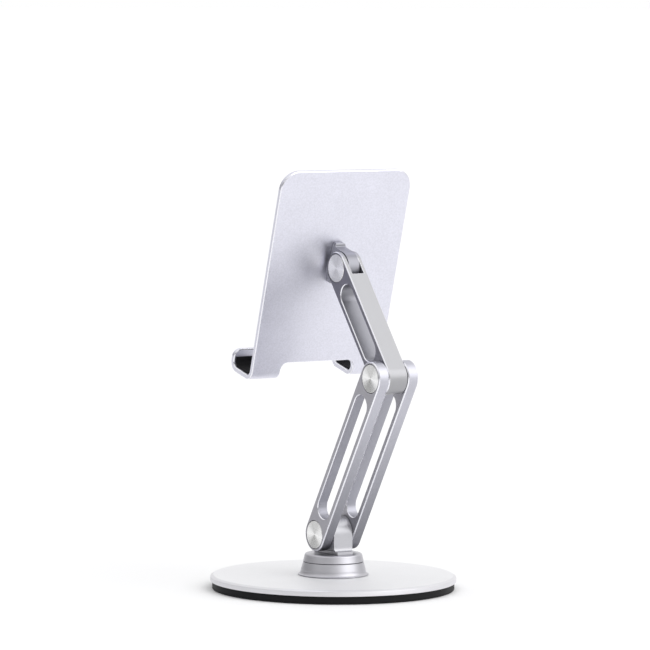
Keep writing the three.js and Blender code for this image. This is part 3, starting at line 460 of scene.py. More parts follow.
class Shell:
    """Points and faces in millimetres, collected ring by ring; each face has a material number."""

    def __init__(self):
        self.points = []
        self.faces = []
        self.tags = []

    def ring(self, points):
        first = len(self.points)
        self.points.extend(points)
        return list(range(first, len(self.points)))

    def face(self, corners, tag):
        self.faces.append(tuple(corners))
        self.tags.append(tag)

    def skin(self, rings, tags):
        """Joins each ring to the next; tags holds one material number per gap."""
        for (a, b), tag in zip(zip(rings, rings[1:]), tags):
            for i in range(len(a)):
                j = (i + 1) % len(a)
                self.face((a[i], a[j], b[j], b[i]), tag)

    def fill(self, loops, tag):
        """A flat face inside the first loop and outside the others."""
        outlines = [[Vector(self.points[i]) for i in loop] for loop in loops]
        numbers = [i for loop in loops for i in loop]
        for corners in tessellate_polygon(outlines):
            self.face([numbers[k] for k in corners], tag)

    def tube(self, stations, tags):
        """Rings at (x, outline) stations, joined; returns the first and last ring."""
        rings = [self.ring([(x, y, z) for y, z in outline]) for x, outline in stations]
        self.skin(rings, tags)
        return rings[0], rings[-1]


def tidy(mesh, sharp_degrees=28):
    """Merges double points, turns all faces outwards and marks the sharp edges."""
    work = bmesh.new()
    work.from_mesh(mesh)
    bmesh.ops.remove_doubles(work, verts=work.verts, dist=1e-7)
    bmesh.ops.dissolve_degenerate(work, edges=work.edges, dist=1e-7)
    bmesh.ops.recalc_face_normals(work, faces=work.faces)
    work.to_mesh(mesh)
    work.free()
    mesh.shade_smooth()
    mesh.set_sharp_from_angle(angle=math.radians(sharp_degrees))


def placed(name, data, place):
    made = bpy.data.objects.new(name, data)
    made.matrix_world = place
    bpy.context.scene.collection.objects.link(made)
    return made


def piece(name, shell, place, looks):
    mesh = bpy.data.meshes.new(name)
    mesh.from_pydata([Vector(p) * MM for p in shell.points], [], shell.faces)
    for look in looks:
        mesh.materials.append(look)
    mesh.polygons.foreach_set("material_index", shell.tags)
    tidy(mesh)
    return placed(name, mesh, place)


def finish_piece(made, body, node_name):
    """Evens out the shading and puts the piece in the place of its CAD node."""
    weighted = made.modifiers.new("weighted normals", "WEIGHTED_NORMAL")
    weighted.keep_sharp = True
    weighted.weight = 100
    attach(made, body)
    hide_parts(node_name)


def boolean(made, cutter, operation):
    """Applies the boolean to the piece's mesh and removes the cutter."""
    modifier = made.modifiers.new("boolean", "BOOLEAN")
    modifier.operation = operation
    modifier.solver = "EXACT"
    modifier.object = cutter
    bpy.context.view_layer.update()
    result = bpy.data.meshes.new_from_object(made.evaluated_get(bpy.context.evaluated_depsgraph_get()))
    made.modifiers.clear()
    old = made.data
    made.data = result
    bpy.data.meshes.remove(old)
    bpy.data.objects.remove(cutter)


def screw_holes(made, places, reach, head_radius=0):
    """Holes for screws, with a recess where head_radius is given.

    Each place is the middle of a screw head's outer face, with Z along the screw.
    """
    shank = M3_RADIUS + CLEARANCE
    profile = [(0, -1), (shank, -1), (shank, reach), (0, reach)]
    if head_radius:
        head, depth = head_radius + CLEARANCE, M3_HEAD_HEIGHT + CLEARANCE
        profile[1:2] = [(head, -1), (head, depth), (shank, depth)]
    for place in places:
        cutter = piece("cutter", lathe(profile, steps=SMALL_STEPS), place, [STEEL])
        boolean(made, cutter, "DIFFERENCE")
    tidy(made.data)


def upright_screws(names):
    """Places of the screws that point up from below, their head radius and their length."""
    boxes = [box_mm(name) for name in names]
    places = [Matrix.Translation(Vector(((low.x + high.x) / 2, (low.y + high.y) / 2, low.z)) * MM)
              for low, high in boxes]
    low, high = boxes[0]
    return places, (high.x - low.x) / 2, high.z - low.z


def bevel_where(made, width, segments, chosen, tag=None):
    """Rounds the sharp edges for which chosen(edge middle in mm) holds."""
    work = bmesh.new()
    work.from_mesh(made.data)
    edges = []
    for edge in work.edges:
        if len(edge.link_faces) == 2 and edge.calc_face_angle(0) > math.radians(35):
            if chosen((edge.verts[0].co + edge.verts[1].co) / 2 / MM):
                edges.append(edge)
    made_faces = bmesh.ops.bevel(
        work, geom=edges, offset=width * MM, segments=segments, profile=0.5, affect="EDGES",
        clamp_overlap=True,
    )["faces"]
    if tag is not None:
        for face in made_faces:
            face.material_index = tag
    work.to_mesh(made.data)
    work.free()
    tidy(made.data)


def lathe(profile, axis="Z", steps=TURNED_STEPS, tags=None):
    """A solid turned from (radius, height) points; a profile that starts off the axis is closed on itself."""
    shell = Shell()
    rings = []
    for radius, height in profile:
        turns = [2 * math.pi * i / steps for i in range(steps)] if radius > 0 else [0]
        flat = [(radius * math.cos(t), radius * math.sin(t)) for t in turns]
        rings.append(shell.ring([(height, c, s) if axis == "X" else (c, s, height) for c, s in flat]))
    if profile[0][0] > 0:
        rings.append(rings[0])
    for k, (a, b) in enumerate(zip(rings, rings[1:])):
        tag = tags[k] if tags else 0
        for i in range(steps):
            j = (i + 1) % steps
            if len(a) > 1 and len(b) > 1:
                shell.face((a[i], a[j], b[j], b[i]), tag)
            elif len(b) > 1:
                shell.face((a[0], b[j], b[i]), tag)
            elif len(a) > 1:
                shell.face((a[i], a[j], b[0]), tag)
    return shell


def arc(cx, cy, radius, start, end, steps):
    """Points on an arc, as (x, y), from the start angle to the end angle in degrees."""
    return [
        (
            cx + radius * math.cos(math.radians(start + (end - start) * i / steps)),
            cy + radius * math.sin(math.radians(start + (end - start) * i / steps)),
        )
        for i in range(steps + 1)
    ]


def circle(z, radius):
    turns = [2 * math.pi * i / ROUND_STEPS for i in range(ROUND_STEPS)]
    return [(radius * math.cos(turn), z + radius * math.sin(turn)) for turn in turns]


def curve(start, middle, end, steps):
    """Points after the start on a quadratic curve drawn towards the middle point."""
    points = []
    for i in range(1, steps + 1):
        t = i / steps
        points.append(tuple((1 - t) ** 2 * a + 2 * t * (1 - t) * b + t * t * c
                            for a, b, c in zip(start, middle, end)))
    return points


def rounded_rectangle(half, low, high, radius, steps):
    """Outline from -half to half and from low to high, with round corners."""
    points = []
    for side, end, start in ((1, high - radius, 0), (-1, high - radius, 90), (-1, low + radius, 180),
                             (1, low + radius, 270)):
        points += arc(side * (half - radius), end, radius, start, start + 90, steps)
    return points


def extruded(outline, axis, low, high):
    """An outline drawn in (Y, Z), (X, Z) or (X, Y), extruded along the axis that is left."""
    shell = Shell()
    place = {
        "X": lambda a, b, t: (t, a, b),
        "Y": lambda a, b, t: (a, t, b),
        "Z": lambda a, b, t: (a, b, t),
    }[axis]
    rings = [shell.ring([place(a, b, t) for a, b in outline]) for t in (low, high)]
    shell.skin(rings, [0])
    shell.fill([rings[0]], 0)
    shell.fill([rings[1]], 0)
    return shell


def obround(radius, low, high):
    """Outline of a bar with round ends centred on the heights low and high."""
    return arc(0, low, radius, 180, 360, ARC_STEPS) + arc(0, high, radius, 0, 180, ARC_STEPS)


# ---------- base ----------

def eased(radius, height, ease):
    """The lower outside corner of a turned profile, slightly rounded."""
    cut = 0.29 * ease
    return [(radius - ease, height), (radius - cut, height + cut), (radius, height + ease)]


def base_pad():
    """Soft disc with rings of grip grooves below and a recess for the weight above."""
    radius, _, top = box_mm("base_pad")[1]
    recess = box_mm("weight_disc")[1].x + CLEARANCE
    profile = [(0, 0)]
    for i in range(GROOVES):
        middle = FIRST_GROOVE + GROOVE_STEP * i
        profile += [(middle - GROOVE_HALF, 0), (middle - GROOVE_FLOOR_HALF, GROOVE_DEPTH)]
        profile += [(middle + GROOVE_FLOOR_HALF, GROOVE_DEPTH), (middle + GROOVE_HALF, 0)]
    profile += eased(radius, 0, PAD_EASE)
    profile += [(radius, top - PAD_EDGE), (radius - PAD_EDGE, top)]
    profile += [(recess, top), (recess, PAD_FLOOR), (0, PAD_FLOOR)]
    pad = piece("base_pad_visual", lathe(profile), stand_frame, [BLACK_RUBBER])
    finish_piece(pad, "base", "base_pad")


def base_plate():
    """Metal disc with a bevelled rim, bored in the middle for the swivel's nut."""
    low, high = box_mm("base_plate")
    radius, bottom, top = high.x, low.z, high.z
    bevel_foot, bevel_head = top - BASE_BEVEL_DOWN, radius - BASE_BEVEL_OUT
    profile = [(ACCESS_RADIUS, bottom), *eased(radius, bottom, RIM_EASE)]
    profile += [(radius, bevel_foot - 0.1), (radius - 0.06, bevel_foot + 0.08)]
    profile += [(bevel_head + 0.2, top - 0.09), (bevel_head - 0.05, top), (ACCESS_RADIUS, top)]
    tags = [SIDE] + [EDGE] * 6 + [SIDE] * 2
    plate = piece("base_plate_visual", lathe(profile, tags=tags), stand_frame, [BASE_SILVER, BASE_EDGE])
    places, head_radius, length = upright_screws(COLLAR_SCREWS)
    screw_holes(plate, places, length, head_radius)
    finish_piece(plate, "base", "base_plate")


def base_collar():
    """Fixed collar: a shadow gap under its rim, a flare, a slight cone and an eased top; stepped inside."""
    low, high = box_mm("base_collar")
    foot, bottom, top = high.x, low.z, high.z
    gap, neck = foot - COLLAR_SHADOW_GAP, COLLAR_RADIUS
    profile = [(gap, bottom), (gap, bottom + 0.16), (foot - 0.1, bottom + 0.18), (foot, bottom + 0.3)]
    flare_start = foot - 0.06
    for angle in QUARTER_TURN:
        radius = flare_start - (flare_start - COLLAR_WAIST_RADIUS) * math.sin(angle)
        profile.append((radius, bottom + COLLAR_LEDGE + COLLAR_FLARE_HEIGHT * (1 - math.cos(angle))))
    profile += [(neck + 0.02, top - 0.25), (neck - 0.08, top - 0.07), (neck - 0.28, top)]

    well, bolt = SWIVEL_WASHER_RADIUS + CLEARANCE, BOLT_RADIUS + CLEARANCE
    seat = box_mm("swivel_washer")[0].z - CLEARANCE
    web = top - COLLAR_WEB
    profile += [(well, top), (well, seat), (bolt, seat), (bolt, web)]
    profile += [(COLLAR_CAVITY_RADIUS, web), (COLLAR_CAVITY_RADIUS, bottom)]
    collar = piece("base_collar_visual", lathe(profile), stand_frame, [COLLAR_SILVER])
    places, _, length = upright_screws(COLLAR_SCREWS)
    screw_holes(collar, places, length + CLEARANCE)
    finish_piece(collar, "base", "base_collar")


def swivel_ring():
    """Turning ring above the seam, rounded at the top, with a recess for the bolt's head."""
    low, high = box_mm("swivel_ring")
    bottom, top = low.z, high.z
    bolt, head, head_floor = BOLT_RADIUS + CLEARANCE, BOLT_HEAD_RADIUS + CLEARANCE, bottom + RING_FLOOR
    profile = [(bolt, bottom), *eased(RING_RADIUS, bottom, RIM_EASE)]
    for angle in QUARTER_TURN:
        inwards, down = RING_ROUND * (1 - math.cos(angle)), RING_ROUND * (1 - math.sin(angle))
        profile.append((RING_TOP_RADIUS - inwards, top - down))
    profile += [(head, top), (head, head_floor), (bolt, head_floor)]
    ring = piece("swivel_ring_visual", lathe(profile), stand_frame, [COLLAR_SILVER])
    places, head_radius, length = upright_screws(LUG_SCREWS)
    screw_holes(ring, places, length, head_radius)
    finish_piece(ring, "swivel", "swivel_ring")


# ---------- lugs ----------

def lug_outline(radius, bottom, foot_half, foot_thickness, flare, foot_round):
    """Side view of a lug about its pivot: a round head on straight sides and a flared foot."""
    foot_top = bottom + foot_thickness
    flat_end = foot_half - foot_round
    right = [(foot_half, bottom)]
    right += arc(flat_end, foot_top - foot_round, foot_round, 0, 90, 8)
    right += curve((flat_end, foot_top), (radius, foot_top), (radius, foot_top + flare), 12)
    head = arc(0, 0, radius, 0, 180, 2 * ARC_STEPS)
    left = [(-y, z) for y, z in reversed(right)]
    return right + head + left


def stepped_bore(bore, seat_radius, seat, reach):
    """Cutter for a bore along X that widens to a washer's seat at both ends."""
    profile = [(0, -reach), (seat_radius, -reach), (seat_radius, -seat), (bore, -seat)]
    profile += [(bore, seat), (seat_radius, seat), (seat_radius, reach), (0, reach)]
    return lathe(profile, "X", ROUND_STEPS)


def lower_lug():
    low = box_mm("lower_lug")[0]
    bottom = low.z - lower_pivot.z / MM
    side = lug_outline(LUG_RADIUS, bottom, FOOT_HALF_LENGTH, LUG_FOOT_THICKNESS, LUG_FLARE, LUG_FOOT_ROUND)
    foot, half, beyond = LUG_FOOT_HALF_WIDTH, LUG_HALF_WIDTH, LUG_RADIUS + 1
    neck = bottom + LUG_NECK
    right = [(foot, bottom - 1), (foot, neck)]
    right += curve((foot, neck), (half, neck), (half, neck + LUG_NECK_RISE), 10)
    right.append((half, beyond))
    end = right + [(-x, z) for x, z in reversed(right)]
    place = Matrix.Translation(lower_pivot)
    lug = piece("lower_lug_visual", extruded(side, "X", -half, half), place, [LUG_SILVER])
    reach = FOOT_HALF_LENGTH + 2
    boolean(lug, piece("cutter", extruded(end, "Y", -reach, reach), place, [LUG_SILVER]), "INTERSECT")
    bevel_where(lug, LUG_EDGE, 2, lambda point: point.z > bottom + FOOT_EDGE)
    bore = stepped_bore(BORE, WASHER_SEAT_RADIUS, WASHER_FLOOR, half + 1)
    boolean(lug, piece("cutter", bore, place, [LUG_SILVER]), "DIFFERENCE")
    places, _, length = upright_screws(LUG_SCREWS)
    screw_holes(lug, places, length + CLEARANCE)
    finish_piece(lug, "swivel", "lower_lug")


def bracket_screws():
    """Places of the two screws that come through the sheet from its front."""
    turn = Matrix.Rotation(-math.pi / 2, 4, "X")
    return [holder_frame @ Matrix.Translation(Vector((0, SHEET_FRONT, z)) * MM) @ turn
            for z in (-BRACKET_SCREW_OFFSET, BRACKET_SCREW_OFFSET)]


def upper_bracket():
    bottom, half = BRACKET_BOTTOM, BRACKET_HALF_WIDTH
    side = lug_outline(BRACKET_RADIUS, bottom, FOOT_HALF_LENGTH, BRACKET_FOOT_THICKNESS, BRACKET_FLARE,
                       BRACKET_FOOT_ROUND)
    plan = rounded_rectangle(half, -FOOT_HALF_LENGTH, FOOT_HALF_LENGTH, BRACKET_CORNER, 10)
    bracket = piece("upper_bracket_visual", extruded(side, "X", -half, half), bracket_frame, [BRACKET_SILVER_PAINTED_SHADE])
    column = extruded(plan, "Z", bottom - 1, BRACKET_RADIUS + 1)
    boolean(bracket, piece("cutter", column, bracket_frame, [BRACKET_SILVER_PAINTED_SHADE]), "INTERSECT")
    bevel_where(bracket, BRACKET_EDGE, 4, lambda point: point.z > bottom + FOOT_EDGE)
    bore = stepped_bore(TILT_BORE, WASHER_SEAT_RADIUS, BRACKET_WASHER_FLOOR, half + 1)
    boolean(bracket, piece("cutter", bore, bracket_frame, [BRACKET_SILVER_PAINTED_SHADE]), "DIFFERENCE")
    screw_holes(bracket, bracket_screws(), BRACKET_SCREW_LENGTH + CLEARANCE)
    finish_piece(bracket, "holder", "upper_bracket")


# ---------- arms ----------

def chamfered(shell, outer, inner, make_outline, chamfer, wall_tag):
    """Rings of an outline between two side faces; make_outline(inset) gives the outline."""
    stations = [
        (outer, make_outline(chamfer)),
        (outer - chamfer, make_outline(0)),
        (inner + chamfer, make_outline(0)),
        (inner, make_outline(chamfer)),
    ]
    return shell.tube(stations, [EDGE, wall_tag, EDGE])


def bored(shell, z, steps):
    """A stepped hole along X at height z, from (x, radius) steps."""
    return shell.tube([(x, circle(z, radius)) for x, radius in steps], [SIDE] * (len(steps) - 1))


def arm_shell(outer, inner, half_height, length, holes):
    """A bar between two side faces, round at both ends, with a long slot; holes are (z, steps) pairs."""
    shell = Shell()
    slot_end = SLOT_FROM_PIVOT + SLOT_RADIUS

    def bar(inset):
        return obround(half_height - inset, 0, length)

    def slot(inset):
        return obround(SLOT_RADIUS + inset, slot_end, length - slot_end)

    tubes = [
        chamfered(shell, outer, inner, bar, CHAMFER, WALL),
        chamfered(shell, outer, inner, slot, SLOT_CHAMFER, SLOT),
    ]
    tubes += [bored(shell, z, steps) for z, steps in holes]
    shell.fill([first for first, last in tubes], SIDE)
    shell.fill([last for first, last in tubes], SIDE)
    return shell


def lower_plate(side):
    name = "right" if side > 0 else "left"
    outer, inner = PLATE_OUTER, PLATE_INNER
    cap_floor, pocket_floor = outer - CAP_SEAT_DEPTH, outer - POCKET_DEPTH
    cap_seat = [
        (outer, CAP_SEAT_RADIUS + SEAT_RIM), (outer - SEAT_RIM, CAP_SEAT_RADIUS),
        (cap_floor, CAP_SEAT_RADIUS), (cap_floor, POCKET_RADIUS),
        (pocket_floor, POCKET_RADIUS), (pocket_floor, BORE), (inner, BORE),
    ]
    holes = [(0, cap_seat), (LOWER_LENGTH, cap_seat)]
    shell = arm_shell(outer, inner, LOWER_HALF_HEIGHT, LOWER_LENGTH, holes)
    shell.points = [(side * x, y, z) for x, y, z in shell.points]
    # Side faces and slot walls take darker copies of the same metal: painted shade.
    looks = [ARM_SIDE_PAINTED_SHADE, BRIGHT_EDGE, ARM_SILVER, ARM_SLOT_PAINTED_SHADE]
    plate = piece(f"lower_arm_{name}_visual", shell, lower_frame, looks)
    finish_piece(plate, "lower_arm", f"lower_arm_{name}")


def upper_arm():
    """Single bar with washer seats at the elbow and a fork with two shallow head seats at the tilt pivot."""
    half, top = UPPER_HALF_WIDTH, UPPER_LENGTH
    head_floor = half - TILT_SEAT_DEPTH
    washer_seat = [(half, WASHER_SEAT_RADIUS), (WASHER_FLOOR, WASHER_SEAT_RADIUS), (WASHER_FLOOR, BORE)]
    head_seat = [
        (half, CAP_SEAT_RADIUS + SEAT_RIM), (half - SEAT_RIM, CAP_SEAT_RADIUS),
        (head_floor, CAP_SEAT_RADIUS), (head_floor, TILT_BORE),
    ]
    holes = [(z, seat + [(-x, radius) for x, radius in reversed(seat)]) for z, seat in
             ((0, washer_seat), (top, head_seat))]
    shell = arm_shell(half, -half, UPPER_HALF_HEIGHT, top, holes)
    # The dark side faces are a painted reflection of a tablet. The slot walls take the darker bracket metal as
    # painted shade.
    looks = [UPPER_SIDE_PAINTED_REFLECTION, BRIGHT_EDGE, UPPER_SILVER, BRACKET_SILVER_PAINTED_SHADE]
    arm = piece("upper_arm_visual", shell, upper_frame, looks)
    fork_floor, gap, beyond = top - FORK_DEPTH, FORK_HALF_GAP, 12
    outline = [(-gap, fork_floor), (gap, fork_floor), (gap, top + beyond), (-gap, top + beyond)]
    cutter = piece("cutter", extruded(outline, "Y", -beyond, beyond), upper_frame, [BRACKET_SILVER_PAINTED_SHADE])
    boolean(arm, cutter, "DIFFERENCE")
    near = 0.01

    def on_fork(point):
        on_cheek = abs(abs(point.x) - gap) < near and point.z > fork_floor - near
        off_bore = math.hypot(point.y, point.z - top) > TILT_BORE + 1
        on_floor = abs(point.z - fork_floor) < near and abs(point.x) < gap + near
        return (on_cheek and off_bore) or on_floor

    bevel_where(arm, FORK_EDGE, 2, on_fork, EDGE)
    finish_piece(arm, "upper_arm_set", "upper_arm")


# ---------- caps and heads ----------

def spun_disc(inner, outer, dish):
    """Profile of a cap on the +X side: fine turned steps on a shallow cone, inside a small bright bevel."""
    profile = [(0, inner), (CAP_RADIUS - 0.1, inner), (CAP_RADIUS, inner + 0.1)]
    profile += [(CAP_RADIUS, outer - CAP_BEVEL), (CAP_RADIUS - CAP_BEVEL, outer)]
    start = CAP_RADIUS - CAP_RIM
    profile.append((start, outer))
    for i in range(1, CAP_RINGS):
        radius = start * (1 - i / CAP_RINGS)
        level = outer - dish * i / CAP_RINGS
        profile += [(radius + 0.06, level + RING_RELIEF), (radius, level - RING_RELIEF)]
    profile.append((0, outer - dish))
    return profile


def caps():
    outer, inner = PLATE_OUTER - CAP_INSET, PLATE_OUTER - CAP_INSET - CAP_THICKNESS
    for pivot_name, place in (("lower", lower_frame), ("elbow", elbow_frame)):
        for side, side_name in ((1, "right"), (-1, "left")):
            shell = lathe(spun_disc(inner, outer, CAP_DISH), "X", ROUND_STEPS)
            shell.points = [(side * x, y, z) for x, y, z in shell.points]
            cap = piece(f"{pivot_name}_cap_{side_name}_visual", shell, place, [SPUN])
            finish_piece(cap, "lower_arm", f"{pivot_name}_cap_{side_name}")


def tilt_heads():
    """The barrel nut from the right and the screw from the left, which meet inside the tilt pivot."""
    outer = UPPER_HALF_WIDTH - CAP_INSET
    inner = outer - HEAD_THICKNESS
    face = spun_disc(inner, outer, HEAD_DISH)[1:]
    core = inner - BARREL_GAP
    wall = BARREL_RADIUS
    barrel = [(BARREL_BORE, -core), (wall - 0.1, -core), (wall, 0.1 - core), (wall, inner)]
    barrel += [*face, (0, core), (BARREL_BORE, core)]
    made = piece("tilt_barrel_visual", lathe(barrel, "X", ROUND_STEPS), tilt_frame, [SPUN_HEAD])
    finish_piece(made, "upper_arm_set", "tilt_barrel")

    tip, point = core - CLEARANCE, 0.4
    screw = [(0, -tip), (TILT_SCREW_RADIUS - point, -tip), (TILT_SCREW_RADIUS, point - tip)]
    screw += [(TILT_SCREW_RADIUS, inner), *face]
    shell = lathe(screw, "X", ROUND_STEPS)
    shell.points = [(-x, y, z) for x, y, z in shell.points]
    made = piece("tilt_screw_visual", shell, tilt_frame, [SPUN_HEAD])
    finish_piece(made, "upper_arm_set", "tilt_screw")


# ---------- holder ----------

def bend_map():
    """Lengths along the flat sheet where each stretch ends, and the map from flat to bent."""
    middle = BEND + SHEET / 2
    turn = middle * math.pi / 2
    back_end = SHEET_TOP - HOOK_CENTRE_Z
    floor_start = back_end + turn
    floor_end = floor_start + BACK_CENTRE_Y - FRONT_CENTRE_Y
    lip_start = floor_end + turn
    lip_end = lip_start + HOOK_TOP - HOOK_CENTRE_Z

    def bent(x, along, out):
        reach = middle + out
        if along <= back_end:
            return (x, BACK_CENTRE_Y + reach, SHEET_TOP - along)
        if along <= floor_start:
            angle = (along - back_end) / middle
            return (x, BACK_CENTRE_Y + reach * math.cos(angle), HOOK_CENTRE_Z - reach * math.sin(angle))
        if along <= floor_end:
            return (x, BACK_CENTRE_Y - (along - floor_start), HOOK_CENTRE_Z - reach)
        if along <= lip_start:
            angle = (along - floor_end) / middle
            return (x, FRONT_CENTRE_Y - reach * math.sin(angle), HOOK_CENTRE_Z - reach * math.cos(angle))
        return (x, FRONT_CENTRE_Y - reach, HOOK_CENTRE_Z + (along - lip_start))

    return (back_end, floor_start, floor_end, lip_start, lip_end), bent


def sheet_outline(end):
    """The flat sheet, as (x, length from the top): two hooks with a notch between them."""
    notch = SHEET_TOP - NOTCH_TOP
    outer, inner = SHEET_HALF_WIDTH, NOTCH_HALF_WIDTH
    right = arc(outer - SHEET_CORNER, SHEET_CORNER, SHEET_CORNER, 270, 360, 16)
    right += arc(outer - LIP_CORNER, end - LIP_CORNER, LIP_CORNER, 0, 90, 10)
    right += arc(inner + LIP_CORNER, end - LIP_CORNER, LIP_CORNER, 90, 180, 10)
    right += arc(inner - NOTCH_FILLET, notch + NOTCH_FILLET, NOTCH_FILLET, 0, -90, 10)
    return right + [(-x, along) for x, along in reversed(right)]


def bend_rows(start, end):
    """Lengths at which the flat sheet is split so that it can bend between start and end."""
    return [start + (end - start) * i / BEND_STEPS for i in range(BEND_STEPS + 1)]


def holder_sheet():
    (back_end, floor_start, floor_end, lip_start, lip_end), bent = bend_map()
    work = bmesh.new()
    work.faces.new([work.verts.new((x * MM, along * MM, 0)) for x, along in sheet_outline(lip_end)])
    for along in bend_rows(back_end, floor_start) + bend_rows(floor_end, lip_start):
        geometry = work.verts[:] + work.edges[:] + work.faces[:]
        row = (0, along * MM, 0)
        bmesh.ops.bisect_plane(work, geom=geometry, plane_co=row, plane_no=(0, 1, 0), dist=1e-8)
    half = SHEET / 2 * MM
    for vert in work.verts:
        vert.co.z = -half
    for item in bmesh.ops.extrude_face_region(work, geom=work.faces[:])["geom"]:
        if isinstance(item, bmesh.types.BMVert):
            item.co.z = half
    bmesh.ops.recalc_face_normals(work, faces=work.faces)
    edges = [e for e in work.edges if len(e.link_faces) == 2 and e.calc_face_angle(0) > math.radians(70)]
    faces = bmesh.ops.bevel(
        work, geom=edges, offset=SHEET_EDGE * MM, segments=2, profile=0.35, affect="EDGES",
        clamp_overlap=True,
    )["faces"]
    for face in faces:
        face.material_index = EDGE
    for vert in work.verts:
        x, along, out = vert.co / MM
        vert.co = Vector(bent(x, along, out)) * MM
    mesh = bpy.data.meshes.new("holder_sheet_visual")
    mesh.materials.append(SHEET_SILVER)
    mesh.materials.append(BRIGHT_EDGE)
    work.to_mesh(mesh)
    work.free()
    tidy(mesh, 32)
    made = placed("holder_sheet_visual", mesh, holder_frame)
    screw_holes(made, bracket_screws(), BRACKET_SCREW_LENGTH, M3_HEAD_RADIUS)
    finish_piece(made, "holder", "holder_plate")


def holder_pad():
    """Soft front pad with rounded edges and a shallow channel round its border."""
    rear, front = SHEET_FRONT - 0.1, SHEET_FRONT - 1.5
    half, low, high = SHEET_HALF_WIDTH - PAD_BORDER, NOTCH_TOP + PAD_BORDER, SHEET_TOP - PAD_BORDER
    channel_floor = front + CHANNEL_DEPTH
    # Where each ring lies from rear to front, and how far it stands in from the outline.
    stations = [(rear, 0.15), (rear - 0.15, 0), (front + 0.45, 0), (front + 0.2, 0.08)]
    stations += [(front + 0.06, 0.25), (front, 0.6), (front, CHANNEL_INSET)]
    stations += [(channel_floor, CHANNEL_INSET + CHANNEL_WALL)]
    stations += [(channel_floor, CHANNEL_END - CHANNEL_WALL), (front, CHANNEL_END)]
    shell = Shell()
    rings = []
    for y, inset in stations:
        outline = rounded_rectangle(half - inset, low + inset, high - inset, PAD_CORNER - inset, 14)
        rings.append(shell.ring([(x, y, z) for x, z in outline]))
    shell.skin(rings, [0] * (len(rings) - 1))
    shell.fill([rings[0]], 0)
    shell.fill([rings[-1]], 0)
    pad = piece("holder_pad_visual", shell, holder_frame, [PAD_RUBBER])
    finish_piece(pad, "holder", "holder_pad")


def hook_pad(side):
    """Thin strip along a hook's floor and up its lip, with rounded edges."""
    name = "right" if side > 0 else "left"
    outer = BEND - 0.1
    back, top = BACK_CENTRE_Y - CLEARANCE, HOOK_TOP - HOOK_PAD_BELOW_LIP

    def strip(radius):
        turn = arc(FRONT_CENTRE_Y, HOOK_CENTRE_Z, radius, -90, -180, 14)
        return [(back, HOOK_CENTRE_Z - radius), *turn, (FRONT_CENTRE_Y - radius, top)]

    outline = strip(outer) + list(reversed(strip(outer - HOOK_PAD_THICKNESS)))
    middle = (SHEET_HALF_WIDTH + NOTCH_HALF_WIDTH) / 2
    half = (SHEET_HALF_WIDTH - NOTCH_HALF_WIDTH) / 2 - HOOK_PAD_INSET
    shell = extruded(outline, "X", side * middle - half, side * middle + half)
    pad = piece(f"hook_pad_{name}_visual", shell, holder_frame, [PAD_RUBBER])
    bevel_where(pad, HOOK_PAD_EDGE, 3, lambda point: True)
    finish_piece(pad, "holder", f"hook_pad_{name}")


# ---------- studio ----------

CAMERA_AZIMUTH, CAMERA_ELEVATION, CAMERA_ROLL = 146.898, 4.306, 0.367
CAMERA_PLACE = (1.2822, 1.9574, 0.3119)
CAMERA_LENS = 253.66
FLOOR_REACH = 40
FLOOR_DROP = 0.0002
WALL_LEVEL = 0.55
CEILING_LEVEL = 1.05
KEY_STRENGTH = 1.1
KEY_SPREAD = 60
KEY_FROM = (-0.9, 1.35, 1.2)
# Azimuth of each wall feature, the angles it fades between, and what it adds to the wall's brightness.
WALLS = [(99, 38, 12, 0.65), (33, 40, 12, -0.35), (303, 60, 25, -0.35), (237, 60, 20, 0.45)]


def camera():
    azimuth, elevation, roll = (math.radians(a) for a in (CAMERA_AZIMUTH, CAMERA_ELEVATION, CAMERA_ROLL))
    level = math.cos(elevation)
    back = Vector((math.sin(azimuth) * level, -math.cos(azimuth) * level, math.sin(elevation)))
    right = Vector((math.cos(azimuth), math.sin(azimuth), 0))
    up = back.cross(right)
    rolled_right = math.cos(roll) * right + math.sin(roll) * up
    rolled_up = -math.sin(roll) * right + math.cos(roll) * up
    data = bpy.data.cameras.new("camera")
    data.sensor_width = 36
    data.lens = CAMERA_LENS
    data.clip_start, data.clip_end = 0.1, 200
    turn = Matrix((rolled_right, rolled_up, back)).transposed().to_4x4()
    bpy.context.scene.camera = placed("camera", data, Matrix.Translation(CAMERA_PLACE) @ turn)


def floor():
    mesh = bpy.data.meshes.new("floor")
    corners = [(x * FLOOR_REACH, y * FLOOR_REACH, 0) for x, y in ((-1, -1), (1, -1), (1, 1), (-1, 1))]
    mesh.from_pydata(corners, [], [(0, 1, 2, 3)])
    material, _, shader = new_material("floor", 0.0, 0.9)
    shader.inputs["Base Color"].default_value = (0.93, 0.93, 0.935, 1)
    shader.inputs["Specular IOR Level"].default_value = 0.1
    mesh.materials.append(material)
    placed("floor", mesh, Matrix.Translation((0, 0, -FLOOR_DROP)))


def key_light():
    """One very large soft light, high behind the stand and to its left."""
    data = bpy.data.lights.new("key", "SUN")
    data.energy = KEY_STRENGTH
    data.angle = math.radians(KEY_SPREAD)
    placed("key", data, Vector(KEY_FROM).to_track_quat("Z", "Y").to_matrix().to_4x4())


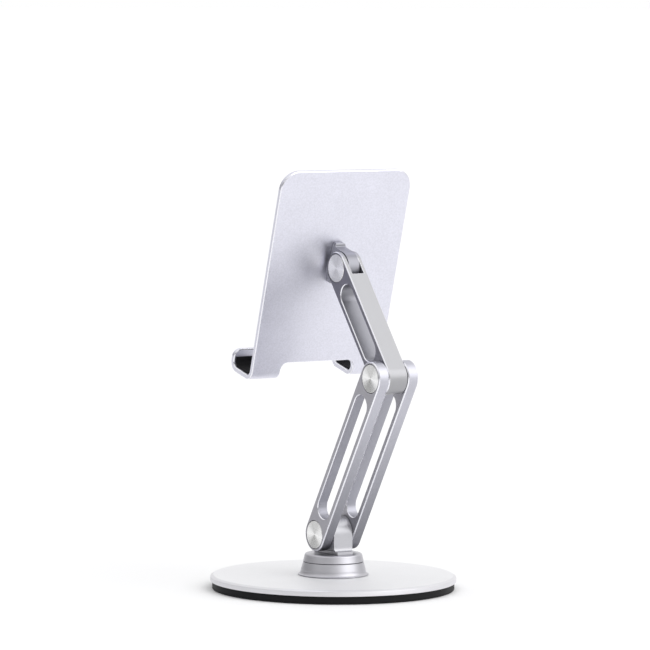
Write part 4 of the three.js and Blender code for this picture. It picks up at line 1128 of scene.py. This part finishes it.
def directional(tree, direction, azimuth, wide, narrow):
    """0 to 1 as the horizontal direction comes within the given angles of an azimuth."""
    aim = node(tree, "ShaderNodeVectorMath", operation="DOT_PRODUCT")
    aim.inputs[1].default_value = (math.cos(math.radians(azimuth)), math.sin(math.radians(azimuth)), 0)
    link(tree, direction, aim.inputs[0])
    made = node(tree, "ShaderNodeMapRange", interpolation_type="SMOOTHSTEP")
    made.inputs["From Min"].default_value = math.cos(math.radians(wide))
    made.inputs["From Max"].default_value = math.cos(math.radians(narrow))
    link(tree, aim.outputs["Value"], made.inputs["Value"])
    return made.outputs["Result"]


def studio_world():
    """A soft room with uneven walls and a brighter ceiling, seen by the lens as plain white."""
    world = bpy.data.worlds.new("studio")
    bpy.context.scene.world = world
    world.use_nodes = True
    tree = world.node_tree
    background = tree.nodes["Background"]
    direction = node(tree, "ShaderNodeTexCoord").outputs["Generated"]
    parts = node(tree, "ShaderNodeSeparateXYZ")
    link(tree, direction, parts.inputs["Vector"])
    walls = None
    for azimuth, wide, narrow, gain in WALLS:
        wall = combined(tree, directional(tree, direction, azimuth, wide, narrow), gain, "MULTIPLY")
        walls = combined(tree, wall, WALL_LEVEL if walls is None else walls)
    ceiling = remap(tree, parts.outputs["Z"], 0.0, 1.0, 0.05, 0.85)
    level = node(tree, "ShaderNodeMix", data_type="FLOAT")
    link(tree, ceiling, level.inputs["Factor"])
    link(tree, walls, level.inputs[NUMBER_A])
    level.inputs[NUMBER_B].default_value = CEILING_LEVEL
    seen = node(tree, "ShaderNodeLightPath").outputs["Is Camera Ray"]
    brightness = node(tree, "ShaderNodeMix", data_type="FLOAT")
    link(tree, seen, brightness.inputs["Factor"])
    link(tree, level.outputs[NUMBER_RESULT], brightness.inputs[NUMBER_A])
    brightness.inputs[NUMBER_B].default_value = 1.0
    link(tree, brightness.outputs[NUMBER_RESULT], background.inputs["Strength"])
    background.inputs["Color"].default_value = (1, 1, 1, 1)


base_pad()
base_plate()
base_collar()
swivel_ring()
lower_lug()
lower_plate(1)
lower_plate(-1)
upper_arm()
upper_bracket()
caps()
tilt_heads()
holder_sheet()
holder_pad()
hook_pad(1)
hook_pad(-1)

camera()
floor()
studio_world()
key_light()

view_settings = bpy.context.scene.view_settings
view_settings.view_transform = "Standard"
view_settings.look = "None"
